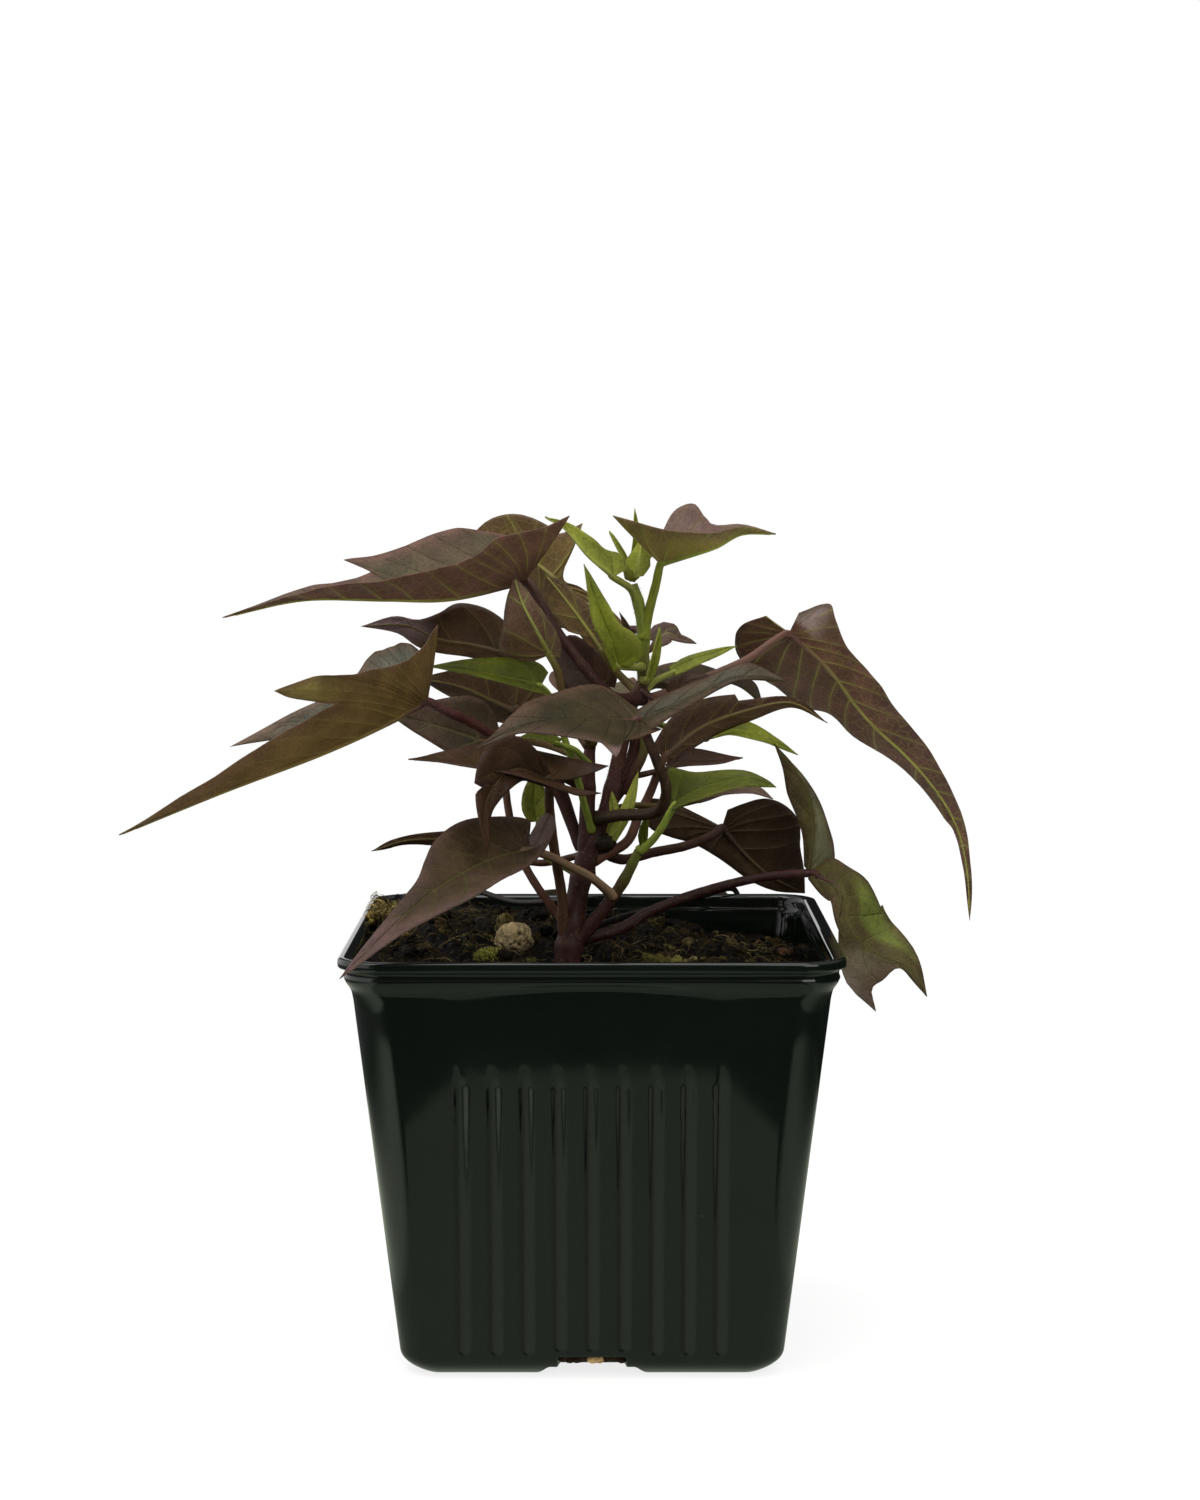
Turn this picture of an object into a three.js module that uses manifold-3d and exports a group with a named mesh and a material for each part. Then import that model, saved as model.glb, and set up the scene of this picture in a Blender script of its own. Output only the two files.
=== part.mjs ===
// Sweet potato vine in a square nursery pot.
// Millimetres, +Z up. The origin is on the floor, under the middle of the pot. -Y is the front.
import * as THREE from 'three';
import Module from 'manifold-3d';

const wasm = await Module();
wasm.setup();
const { Manifold, Mesh } = wasm;

// ---------------------------------------------------------------- driving dimensions

const GAP = 0.3;                 // clearance between pieces that touch

const POT = {
  height: 98,
  rimHalf: 57.15,                // half the width over the lip
  wallTopHalf: 54.3,             // half the width just under the lip
  baseHalf: 43.8,
  wall: 1.3,
  rimCorner: 8,                  // corner radii
  baseCorner: 9,
  lipCorner: 10,
  baseRound: [[0, 5], [0.8, 2.8], [2.4, 1.2], [5, 0]],   // height and inset of the rounded lower edge
  lipDrop: 5,                    // height of the lip
  lipRound: 1.6,
  floor: 4.6,                    // top face of the pot's floor
  floorRound: [2, 1.5],          // height and inset of the round where the wall meets the floor
  footNotch: 2.4,                // how far the base is raised between the corner feet
  notchHalf: 9.6,
  notchSlope: 3,                 // how far a notch widens at its foot
  drainRadius: 5,
  slotHalf: 7.6,                 // half the width of the drain slot over each notch
  slotTop: 5.2,
  slotDepth: 5,
};
const CORNER_STEPS = 4;
const DRAIN_SIDES = 12;

// Upright grooves pressed into the lower part of each side.
const FLUTE = {
  count: 9, pitch: 7.3, half: 1.75, narrow: 0.7, depth: 0.45, bottom: 5.4, top: 69.5, taper: 2.5, clear: 0.2,
};

const SOIL = { level: 91, cells: 15, rise: 0.05, fall: 0.06, lump: 0.9 };
const NUGGET = { centre: [-19, 5, 94], sizes: [4.8, 3.8, 3.7], roughness: 0.09, seed: 1.3 };
const MOSS = { centre: [-24, -9, 91.2], sizes: [4.4, 3.4, 2.4], roughness: 0.1, seed: 4.1 };

const BLADE = { thickness: 0.7, perSpan: 1, across: 2, sweep: 1.6 };
const TUBE_SIDES = 5;
const PETIOLE_END = { u: 0.1, drop: 0.25 };   // where a petiole ends in its blade
const SMALL_BLADE = 5;           // a blade no wider than this on either side has one strip a half
const SIMPLIFY = 0.01;

// ---------------------------------------------------------------- materials

const finish = (color, roughness) => new THREE.MeshStandardMaterial({ color, roughness, metalness: 0 });
const FINISH = {
  pot: finish(0x14211f, 0.3),
  soil: finish(0x2a1f16, 0.95),
  bark: finish(0x8d7146, 0.9),
  moss: finish(0x6f7424, 0.95),
  stem: finish(0x4a2a2b, 0.5),
  purple: finish(0x4e3532, 0.5),
  dark: finish(0x33211d, 0.5),
  olive: finish(0x4c4a2e, 0.5),
  lime: finish(0x6f8a1e, 0.5),
};

// ---------------------------------------------------------------- solids

const vector = ([x, y, z = 0]) => new THREE.Vector3(x, y, z);

function solidFrom(points, triangles) {
  const vertProperties = new Float32Array(points.flatMap((p) => [p.x, p.y, p.z]));
  const triVerts = new Uint32Array(triangles.flat());
  return new Manifold(new Mesh({ numProp: 3, vertProperties, triVerts }));
}

function union(solids) {
  return solids.reduce((whole, piece) => whole.add(piece));
}

// The piece that is left when a cut drops scraps.
function largest(solid) {
  const pieces = solid.decompose();
  return pieces.reduce((best, piece) => (piece.volume() > best.volume() ? piece : best));
}

// Smooth curve through hand-set points.
function curveThrough(points) {
  return new THREE.CatmullRomCurve3(points.map(vector), false, 'catmullrom', 0.5);
}

// Closed solid from rings of equal count, each wound anticlockwise seen from its far end.
function loft(rings) {
  const count = rings[0].length;
  const points = rings.flat();
  const triangles = [];
  for (let k = 0; k + 1 < rings.length; k += 1) {
    for (let i = 0; i < count; i += 1) {
      const a = k * count + i;
      const b = k * count + ((i + 1) % count);
      triangles.push([a, b, b + count], [a, b + count, a + count]);
    }
  }
  const last = (rings.length - 1) * count;
  for (let i = 1; i + 1 < count; i += 1) {
    triangles.push([0, i + 1, i], [last, last + i, last + i + 1]);
  }
  return solidFrom(points, triangles);
}

// Round tube through points, its radius running evenly through the list of radii.
function tube(points, radii, steps, sides = TUBE_SIDES) {
  const curve = curveThrough(points);
  const side = new THREE.Vector3();
  const rings = [];
  let across = null;
  for (let k = 0; k <= steps; k += 1) {
    const t = k / steps;
    const along = curve.getTangent(t);
    if (across === null) {
      across = Math.abs(along.z) > 0.8 ? new THREE.Vector3(1, 0, 0) : new THREE.Vector3(0, 0, 1);
    }
    across = across.clone().addScaledVector(along, -across.dot(along)).normalize();
    side.crossVectors(along, across);
    const place = t * (radii.length - 1);
    const low = Math.min(Math.floor(place), radii.length - 2);
    const radius = THREE.MathUtils.lerp(radii[low], radii[low + 1], place - low);
    const centre = curve.getPoint(t);
    const ring = [];
    for (let i = 0; i < sides; i += 1) {
      const angle = (2 * Math.PI * i) / sides;
      ring.push(centre.clone()
        .addScaledVector(across, radius * Math.cos(angle))
        .addScaledVector(side, radius * Math.sin(angle)));
    }
    rings.push(ring);
  }
  return loft(rings);
}

// Lumpy ball: a sphere squashed by its sizes and roughened by a wave in each direction.
function lump(centre, sizes, roughness, seed, detail = 2) {
  const ball = new THREE.IcosahedronGeometry(1, detail);
  const position = ball.getAttribute('position');
  const seen = new Map();
  const points = [];
  const corner = [];
  for (let i = 0; i < position.count; i += 1) {
    const p = new THREE.Vector3().fromBufferAttribute(position, i);
    const key = p.toArray().map((c) => c.toFixed(4)).join(' ');
    if (!seen.has(key)) {
      const wave = Math.sin(5 * p.x + seed) * Math.sin(4 * p.y + 2 * seed) + Math.sin(6 * p.z + 3 * seed);
      seen.set(key, points.length);
      p.multiplyScalar(1 + roughness * wave);
      points.push(p.multiply(vector(sizes)).add(vector(centre)));
    }
    corner.push(seen.get(key));
  }
  const triangles = [];
  for (let i = 0; i < corner.length; i += 3) {
    triangles.push(corner.slice(i, i + 3));
  }
  return solidFrom(points, triangles);
}

// ---------------------------------------------------------------- pot

// Rounded square at height z, anticlockwise seen from above.
function squareRing(half, corner, z) {
  const ring = [];
  for (let quarter = 0; quarter < 4; quarter += 1) {
    const turn = (quarter * Math.PI) / 2;
    const middle = new THREE.Vector3(half - corner, half - corner, 0);
    for (let i = 0; i <= CORNER_STEPS; i += 1) {
      const angle = (Math.PI / 2) * (i / CORNER_STEPS);
      const p = new THREE.Vector3(corner * Math.cos(angle), corner * Math.sin(angle), 0).add(middle);
      ring.push(p.applyAxisAngle(new THREE.Vector3(0, 0, 1), turn).setZ(z));
    }
  }
  return ring;
}

const wallTop = POT.height - POT.lipDrop;

// Half width and corner radius of the wall's outer face at height z, up to the lip.
function wallAt(z) {
  const t = z / wallTop;
  return {
    half: THREE.MathUtils.lerp(POT.baseHalf, POT.wallTopHalf, t),
    corner: THREE.MathUtils.lerp(POT.baseCorner, POT.rimCorner, t),
  };
}

function wallRing(z, inset) {
  const { half, corner } = wallAt(z);
  return squareRing(half - inset, corner - inset, z);
}

function lipRing(inset, z) {
  return squareRing(POT.rimHalf - inset, POT.lipCorner - inset, z);
}

// The cut of one groove in the wall that faces -Y: its floor narrows and it runs out at both ends.
function groove(x) {
  const { half, narrow, depth, bottom, top, taper, clear } = FLUTE;
  const levels = [[bottom, -clear / 2], [bottom + taper, depth], [top - taper, depth], [top, -clear / 2]];
  return loft(levels.map(([z, cut]) => {
    const face = -wallAt(z).half;
    return [
      vector([x - half, face - clear, z]), vector([x + half, face - clear, z]),
      vector([x + half - narrow, face + cut, z]), vector([x - half + narrow, face + cut, z]),
    ];
  }));
}

// Box between two opposite corners.
function box(low, high) {
  const { x: x0, y: y0, z: z0 } = vector(low);
  const { x: x1, y: y1, z: z1 } = vector(high);
  const ring = (z) => [[x0, y0, z], [x1, y0, z], [x1, y1, z], [x0, y1, z]].map(vector);
  return loft([ring(z0), ring(z1)]);
}

// The notch between two feet, wider at its foot.
function notch() {
  const { notchHalf, notchSlope, footNotch, baseHalf } = POT;
  const ring = (half, z) => {
    const front = -baseHalf - 2;
    return [[-half, front, z], [half, front, z], [half, 0, z], [-half, 0, z]].map(vector);
  };
  return loft([ring(notchHalf + notchSlope, -0.6), ring(notchHalf, footNotch)]);
}

function drain() {
  const ring = (z) => Array.from({ length: DRAIN_SIDES }, (_, i) => {
    const angle = (2 * Math.PI * i) / DRAIN_SIDES;
    return vector([POT.drainRadius * Math.cos(angle), POT.drainRadius * Math.sin(angle), z]);
  });
  return loft([ring(-1), ring(POT.floor + 1)]);
}

function potInside(inset, top) {
  const low = POT.floor + inset;
  const [rise, step] = POT.floorRound;
  return loft([
    wallRing(low, POT.wall + inset + step),
    wallRing(low + rise, POT.wall + inset),
    wallRing(top, POT.wall + inset),
  ]);
}

// What is cut from each side: its grooves, the notch between its feet and the drain slot over the notch.
function sideCuts() {
  const { baseHalf, slotHalf, slotTop, slotDepth, footNotch } = POT;
  const slot = box([-slotHalf, -baseHalf - 2, footNotch - 1], [slotHalf, -baseHalf + slotDepth, slotTop]);
  const cuts = [notch(), slot];
  for (let i = 0; i < FLUTE.count; i += 1) {
    cuts.push(groove((i - (FLUTE.count - 1) / 2) * FLUTE.pitch));
  }
  return union(cuts);
}

function potSolid() {
  const { height, lipRound, wall, baseRound } = POT;
  const outside = loft([
    ...baseRound.map(([z, inset]) => wallRing(z, inset)),
    wallRing(wallTop, 0),
    lipRing(1.5, wallTop),
    lipRing(0.6, wallTop + 0.8),
    lipRing(0, height - lipRound),
    lipRing(0.5, height - 0.4),
    lipRing(1.1, height),
    lipRing(2.2, height),
  ]);
  const mouth = loft([
    wallRing(wallTop - 2, wall),
    wallRing(wallTop, wall),
    lipRing(2.4, height - 1),
    lipRing(2, height + 1),
  ]);
  let pot = outside.subtract(potInside(0, wallTop)).subtract(mouth);
  const cuts = sideCuts();
  for (let side = 0; side < 4; side += 1) {
    pot = pot.subtract(cuts.rotate([0, 0, 90 * side]));
  }
  return pot.subtract(drain());
}

// ---------------------------------------------------------------- soil and what lies on it

// The soil is highest at the back left and has lumps the size of a fingertip.
function soilHeight(x, y) {
  const broad = SOIL.rise * y - SOIL.fall * x;
  const wide = Math.sin(0.19 * x + 0.6) * Math.cos(0.17 * y - 0.4);
  const waves = wide + 0.6 * Math.sin(0.37 * x - 0.29 * y + 1.2) + 0.4 * Math.sin(0.61 * y + 0.47 * x);
  return SOIL.level + broad + SOIL.lump * waves;
}

function soilSolid(holes) {
  const half = POT.wallTopHalf;
  const n = SOIL.cells;
  const at = (i) => -half + (2 * half * i) / n;
  const points = [];
  for (let j = 0; j <= n; j += 1) {
    for (let i = 0; i <= n; i += 1) {
      points.push(vector([at(i), at(j), soilHeight(at(i), at(j))]));
    }
  }
  const triangles = [];
  const border = [];
  for (let j = 0; j < n; j += 1) {
    for (let i = 0; i < n; i += 1) {
      const a = j * (n + 1) + i;
      triangles.push([a, a + 1, a + n + 2], [a, a + n + 2, a + n + 1]);
    }
  }
  for (let i = 0; i < n; i += 1) border.push(i);
  for (let j = 0; j < n; j += 1) border.push(j * (n + 1) + n);
  for (let i = n; i > 0; i -= 1) border.push(n * (n + 1) + i);
  for (let j = n; j > 0; j -= 1) border.push(j * (n + 1));
  const foot = points.length;
  border.forEach((index) => points.push(points[index].clone().setZ(0)));
  const middle = points.length;
  points.push(vector([0, 0, 0]));
  border.forEach((index, k) => {
    const next = (k + 1) % border.length;
    triangles.push([index, foot + k, foot + next], [index, foot + next, border[next]]);
    triangles.push([middle, foot + next, foot + k]);
  });
  const fill = solidFrom(points, triangles).intersect(potInside(GAP, POT.height));
  return holes.reduce((soil, hole) => soil.subtract(hole), fill);
}

const lumpSolid = ({ centre, sizes, roughness, seed }, grow = 0) => lump(
  centre, sizes.map((size) => size + grow), roughness, seed,
);

// ---------------------------------------------------------------- stems

// Main stem from its hole in the soil to the shoot tip, the fork on its left and the side shoot low on its
// right.
const STEMS = [
  {
    path: [[-4, -3, 80], [-3, -3, 92], [-2, -3, 104], [-1, -3, 114], [2, -2, 122], [4.6, -1, 131],
      [6.6, 0, 140], [8, 0, 149], [12, -1, 156], [12, -2, 163], [12, -3, 169], [11, -3, 175],
      [9.6, -3, 180]],
    radii: [3.4, 3.2, 2.6, 2.3, 1.9, 1.8, 1.7, 1.7, 1.6, 1.5, 1.4, 1.3, 1.1],
  },
  {
    path: [[-1.4, -3, 110], [-1.4, -2, 120], [-1.2, -1, 129], [-1, 0, 137], [-0.4, 0, 142]],
    radii: [2, 2, 1.8, 1.7, 1.1],
  },
  { path: [[-2, -4, 94], [3, -6, 102], [7, -7, 109], [11, -8, 117]], radii: [1.8, 1.5, 1.3, 1] },
];

const stemTubes = (grow) => STEMS.map(
  ({ path, radii }) => tube(path, radii.map((r) => r + grow), 2 * (path.length - 1), 8),
);

// ---------------------------------------------------------------- leaves

// A leaf's outline is set for each half by points (u, w, lift, sharp): u is the place along the rib, 0 at
// the petiole and 1 at the tip; w is the distance from the rib; lift raises the margin off the blade; sharp
// marks the point of a lobe or a notch. The half starts at its first point, the lobe beside the petiole.
function outlineSamples(outline) {
  const points = [...outline, [1, 0, 0, 1]];
  const samples = [];
  let start = 0;
  for (let i = 1; i < points.length; i += 1) {
    if (points[i][3] || i === points.length - 1) {
      const run = points.slice(start, i + 1).map(([u, w, lift = 0]) => [u, w, lift]);
      const curve = curveThrough(run);
      const steps = BLADE.perSpan * (run.length - 1);
      for (let k = 0; k < steps; k += 1) {
        samples.push(curve.getPoint(k / steps));
      }
      start = i;
    }
  }
  return samples;
}

// Frame of the rib at u: its point, its direction, the blade's upper side and its left.
function ribFrame(blade, u) {
  const curve = curveThrough(blade.rib);
  const t = THREE.MathUtils.clamp(u, 0, 1);
  const along = curve.getTangent(t);
  const point = curve.getPoint(t);
  if (u < 0) {
    const step = 1e-4;
    const slope = curve.getPoint(step).sub(curve.getPoint(0)).divideScalar(step);
    point.addScaledVector(slope, u);
  }
  const up = vector(blade.up).lerp(vector(blade.upTip ?? blade.up), t);
  up.addScaledVector(along, -up.dot(along)).normalize();
  const left = new THREE.Vector3().crossVectors(up, along);
  return { point, up, left };
}

// Point of the blade on one side (+1 left, -1 right) at u and w: the half leaves the rib at its fold angle
// and bends on by its cup, in degrees a millimetre.
function bladePoint(blade, side, u, w, lift) {
  const { point, up, left } = ribFrame(blade, u);
  const half = side > 0 ? 0 : 1;
  const fold = THREE.MathUtils.degToRad((blade.fold ?? [20, 20])[half]);
  const cup = THREE.MathUtils.degToRad((blade.cup ?? [0.4, 0.4])[half]);
  const out = (Math.sin(fold + cup * w) - Math.sin(fold)) / cup;
  const rise = (Math.cos(fold) - Math.cos(fold + cup * w)) / cup;
  return point.addScaledVector(left, side * out).addScaledVector(up, rise + lift);
}

function bladeSolid(blade) {
  const samples = [outlineSamples(blade.left), outlineSamples(blade.right)];
  const rows = Math.max(samples[0].length, samples[1].length);
  const wide = Math.max(...[...blade.left, ...blade.right].map(([, w]) => w));
  const columns = wide > SMALL_BLADE ? BLADE.across : 1;
  const sweep = blade.sweep ?? BLADE.sweep;
  const points = [];
  const normals = [];
  const add = (p) => {
    points.push(p);
    normals.push(new THREE.Vector3());
    return points.length - 1;
  };
  const ribAt = (row) => 0.93 * (row / rows) ** sweep;
  const grid = [[], []];
  for (let row = 0; row < rows; row += 1) {
    const rib = add(bladePoint(blade, 1, ribAt(row), 0, 0));
    samples.forEach((outline, half) => {
      const count = outline.length;
      const place = (row / rows) * count;
      const low = Math.min(Math.floor(place), count - 1);
      const next = low + 1 < count ? outline[low + 1] : new THREE.Vector3(1, 0, 0);
      const margin = outline[low].clone().lerp(next, place - low);
      const line = [rib];
      for (let column = 1; column <= columns; column += 1) {
        const s = column / columns;
        const u = THREE.MathUtils.lerp(ribAt(row), margin.x, s);
        line.push(add(bladePoint(blade, half === 0 ? 1 : -1, u, margin.y * s, margin.z * s * s)));
      }
      grid[half].push(line);
    });
  }
  const tip = add(bladePoint(blade, 1, 1, 0, 0));
  const faces = [];
  grid.forEach((lines, half) => {
    const push = (a, b, c) => faces.push(half === 0 ? [a, b, c] : [a, c, b]);
    for (let row = 0; row + 1 < rows; row += 1) {
      for (let column = 0; column < columns; column += 1) {
        push(lines[row][column], lines[row + 1][column], lines[row + 1][column + 1]);
        push(lines[row][column], lines[row + 1][column + 1], lines[row][column + 1]);
      }
    }
    for (let column = 0; column < columns; column += 1) {
      push(lines[rows - 1][column], tip, lines[rows - 1][column + 1]);
    }
  });
  faces.forEach(([a, b, c]) => {
    const ab = points[b].clone().sub(points[a]);
    const normal = ab.cross(points[c].clone().sub(points[a]));
    [a, b, c].forEach((index) => normals[index].add(normal));
  });
  const margin = (half) => grid[half].map((line) => line[columns]);
  const border = [
    ...grid[0][0].slice(0, columns), ...margin(0), tip,
    ...margin(1).reverse(), ...grid[1][0].slice(1, columns).reverse(),
  ];
  const half = BLADE.thickness / 2;
  const count = points.length;
  normals.forEach((normal) => normal.normalize());
  const sheet = (offset) => points.map((p, i) => p.clone().addScaledVector(normals[i], offset));
  const triangles = faces.flatMap(([a, b, c]) => [[a, b, c], [a + count, c + count, b + count]]);
  border.forEach((a, k) => {
    const b = border[(k + 1) % border.length];
    triangles.push([a + count, a, b], [a + count, b, b + count]);
  });
  return solidFrom([...sheet(half), ...sheet(-half)], triangles);
}

function leafSolid({ petiole, girth = [1.1, 0.85], blades, bud }) {
  const pieces = blades.map(bladeSolid);
  if (petiole) {
    const { point, up } = ribFrame(blades[0], PETIOLE_END.u);
    const end = point.addScaledVector(up, -PETIOLE_END.drop).toArray();
    pieces.push(tube([...petiole, blades[0].rib[0], end], [...girth, girth[1] / 2], petiole.length + 2));
  }
  if (bud) {
    pieces.push(lump(bud.centre, bud.sizes, 0.04, 1, 1));
  }
  return union(pieces);
}

const LEAVES = {
  leaf_top_left: {
    finish: 'purple',
    petiole: [[12, -1, 153], [6, -6, 153], [2, -9, 156], [-3, -10, 162], [-9, -9, 170],
      [-13, -7, 177]],
    girth: [1.5, 1.2],
    blades: [{
      rib: [[-16, -4, 181], [-33, -12, 177], [-49, -18, 177], [-67, -22, 177], [-85, -24, 173]],
      up: [0, 0, 1],
      fold: [33, 50],
      left: [[-0.08, 24, 0, 1], [0.03, 21.2], [0.16, 21.3], [0.21, 18], [0.27, 14.2], [0.42, 11.4],
        [0.57, 6.8], [0.76, 3]],
      right: [[-0.1, 6], [-0.04, 12], [0.06, 16.7], [0.16, 18.2], [0.33, 16.8], [0.48, 13.3],
        [0.61, 10.7, 0, 1], [0.52, 7.6, 0, 1], [0.65, 4.8], [0.78, 2.4]],
      sweep: 2,
    }],
  },
  leaf_top_left_rear: {
    finish: 'olive',
    petiole: [[12, -3, 168.6], [11, 6.4, 168.8], [3, 12.5, 168.6], [-3, 13.5, 172]],
    blades: [{
      rib: [[-7, 14, 179], [-13, 17, 184], [-20, 20, 189], [-30, 24, 191]],
      up: [0.2, 1, 0.3],
      left: [[-0.9, 2], [-0.5, 3], [-0.15, 2.6], [0.08, 2], [0.27, 14.5, 0, 1], [0.36, 9.4],
        [0.52, 8.8], [0.7, 7.6], [0.88, 4.6]],
      right: [[-0.4, 6], [-0.1, 12], [0.06, 10], [0.16, 8.4], [0.6, 4]],
      sweep: 1.4,
    }],
  },
  leaf_far_left: {
    finish: 'olive',
    petiole: [[-1, -1, 131], [-11, -8, 137], [-21, -16, 144], [-29, -21, 149], [-33, -24, 151]],
    girth: [1.3, 1.1],
    blades: [{
      rib: [[-38, -26, 154], [-47, -32, 149], [-61, -42, 143], [-81, -56, 136], [-102, -70, 128]],
      up: [0, 0, 1],
      fold: [55, 58],
      left: [[-0.1, 20, 0, 1], [0.03, 16.7], [0.2, 16], [0.38, 19.5], [0.5, 22.5],
        [0.64, 25.4, -2, 1], [0.58, 19.4], [0.46, 13.5, 0, 1], [0.56, 11.4], [0.68, 9.4], [0.8, 5.2],
        [0.92, 1.6]],
      right: [[-0.14, 6.6], [-0.12, 11.9], [-0.06, 14.6], [0.03, 15.8], [0.14, 15.2], [0.33, 12.6],
        [0.5, 11.4], [0.69, 8.8, 0, 1], [0.52, 7, 0, 1], [0.7, 3.6], [0.85, 1.6]],
      sweep: 2.2,
    }],
  },
  leaf_left_twisted: {
    finish: 'dark',
    petiole: [[-0.6, 0, 141], [-8, 8, 149], [-15, 9, 157]],
    blades: [{
      rib: [[-21, 8, 163], [-29, 8, 165], [-37, 6, 166.5], [-45, 2, 170], [-55, -2, 170]],
      up: [0, 1, 0.1],
      left: [[-0.02, 6], [0.11, 8.4], [0.25, 9.9], [0.4, 9.6], [0.55, 6.4], [0.68, 2.2], [0.82, 2]],
      right: [[-0.06, 3], [0.08, 3.6], [0.25, 3.4], [0.45, 3.6], [0.6, 4.2], [0.79, 2.2], [0.9, 1]],
    }],
  },
  leaf_left_lime: {
    finish: 'lime',
    petiole: [[0, -3, 121], [-2, -5, 128], [-4, -7, 136], [-7, -8, 145], [-9.5, -10, 153]],
    girth: [0.9, 0.75],
    blades: [{
      rib: [[-12, -12, 156.5], [-20, -14, 158.4], [-28, -16, 160.2], [-38, -18, 161.4]],
      up: [0.1, -0.6, 0.8],
      fold: [10, 20],
      left: [[-0.08, 3], [0.08, 3.6], [0.35, 3], [0.63, 2.2]],
      right: [[-0.06, 4], [0.01, 5.6], [0.12, 6.2], [0.28, 5.8], [0.48, 4.6], [0.76, 2.6]],
    }],
  },
  leaf_left_brown: {
    finish: 'dark',
    petiole: [[-3, -2, 97], [-8, -0.6, 101], [-13, 0, 107], [-17, 2, 114], [-20, 4, 124],
      [-21, 6, 136]],
    girth: [1.1, 0.9],
    blades: [{
      rib: [[-18, 6, 149], [-25, 8, 152], [-32, 9, 155], [-42, 10, 157]],
      up: [0, 1, 0.3],
      left: [[-0.24, 6], [-0.1, 8.6], [0.08, 9.2], [0.31, 7.7], [0.64, 5]],
      right: [[-0.1, 4], [0.09, 5], [0.3, 6.4], [0.5, 6.2], [0.78, 3.6]],
    }],
  },
  leaf_left_under: {
    finish: 'purple',
    petiole: [[-1, 0.4, 137.4], [-10, 7.6, 140.6], [-19, 10, 142]],
    girth: [1, 0.85],
    blades: [{
      rib: [[-26, 4, 142], [-36, 3, 145.5], [-49, 2, 149]],
      up: [0, -0.9, 0.3],
      fold: [8, 8],
      left: [[-0.12, 3], [0.08, 4], [0.4, 3], [0.75, 1.6]],
      right: [[-0.12, 4], [0.04, 8], [0.3, 9.4], [0.6, 6.4], [0.84, 2.4]],
    }],
  },
  leaf_front: {
    finish: 'olive',
    petiole: [[1, -2, 124], [7, -12, 126], [13, -19, 127], [16, -24, 129], [17, -28, 134],
      [15, -32, 140], [13, -34, 145]],
    girth: [1.5, 1.1],
    blades: [
      {
        rib: [[11, -34, 150], [-2, -42, 151], [-15, -50, 150], [-26, -54, 145]],
        up: [0, -0.5, 0.85],
        fold: [4, 4],
        left: [[-0.06, 5], [0.12, 9], [0.3, 14], [0.42, 21, -1, 1], [0.4, 13, 0, 1], [0.53, 7.4],
          [0.68, 3.2], [0.84, 1.4]],
        right: [[-0.06, 4], [0.02, 9], [0.12, 12.4], [0.26, 12], [0.4, 10.2], [0.54, 7.9],
          [0.71, 3.9], [0.85, 1.8]],
        sweep: 1.8,
      },
      {
        rib: [[11, -34, 150], [22, -36, 155], [33, -37, 160], [44, -36, 159]],
        up: [0, -0.6, 0.8],
        fold: [4, 4],
        left: [[-0.06, 3], [0.14, 4.4], [0.29, 4.4], [0.48, 3.6], [0.63, 3.8], [0.75, 4.2],
          [0.87, 2.6]],
        right: [[-0.1, 5], [0.04, 5], [0.2, 3.4], [0.4, 2.2], [0.63, 1.6], [0.82, 0.9]],
      },
    ],
  },
  leaf_right_dark: {
    finish: 'dark',
    petiole: [[0, -2, 114], [8, 0, 118], [11, 2, 124], [14, 4, 130]],
    girth: [1.3, 1],
    blades: [{
      rib: [[17, 4, 138], [26, 8, 145], [37, 10, 149], [48, 10, 151], [57, 10, 146]],
      up: [0, 1, 0.4],
      left: [[0.02, 4.6], [0.14, 4.4], [0.28, 5], [0.5, 4], [0.67, 2.6], [0.84, 1]],
      right: [[0, 4], [0.16, 6], [0.32, 6], [0.47, 4.6, 0, 1], [0.48, 2.8, 0, 1], [0.62, 1.8],
        [0.8, 1.2]],
    }],
  },
  leaf_far_right: {
    finish: 'purple',
    petiole: [[12, 0, 152], [24, 6, 156], [37, 13, 161], [45, 19, 166]],
    girth: [1.3, 1.1],
    blades: [{
      rib: [[48.4, 24, 167.2], [58.6, 28, 157.8], [68.4, 34, 145.4], [82.4, 42, 132.1],
        [92.4, 50, 118.5], [97.1, 58, 104.5], [99.3, 68, 89.2]],
      up: [0.4, 0.8, 0.4],
      fold: [14, 14],
      left: [[-0.08, 1.6], [-0.09, 9], [-0.06, 16], [0.02, 23], [0.13, 22.6], [0.25, 20],
        [0.29, 15.7, 0, 1], [0.31, 9.4], [0.38, 8.5], [0.49, 5.2], [0.65, 3], [0.7, 1.4, 0, 1],
        [0.8, 1.4], [0.92, 0.7]],
      right: [[-0.03, 5.8], [-0.01, 9.9], [0.02, 12.5], [0.07, 10.6], [0.15, 7.4], [0.22, 7.7],
        [0.28, 8.6], [0.38, 7], [0.48, 5.4], [0.57, 4], [0.66, 2.4], [0.78, 1.4], [0.92, 0.8]],
    }],
  },
  leaf_right_low: {
    finish: 'olive',
    petiole: [[-2, -2, 95], [7, 0, 97], [14, 3, 101], [26, 7, 105], [40, 11, 108]],
    girth: [1.4, 1.1],
    blades: [
      {
        rib: [[53, 14, 109], [61, 10, 105], [62.5, 8, 97], [68, 8, 90], [76, 6, 87], [81, 4, 80]],
        up: [0.4, -0.85, 0.3],
        fold: [-25, -25],
        left: [[-0.04, 3], [-0.02, 7], [0.05, 8.6], [0.13, 8.6], [0.22, 11.6], [0.36, 14.8],
          [0.5, 15], [0.64, 12.4], [0.77, 7.6], [0.9, 3.2]],
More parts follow.
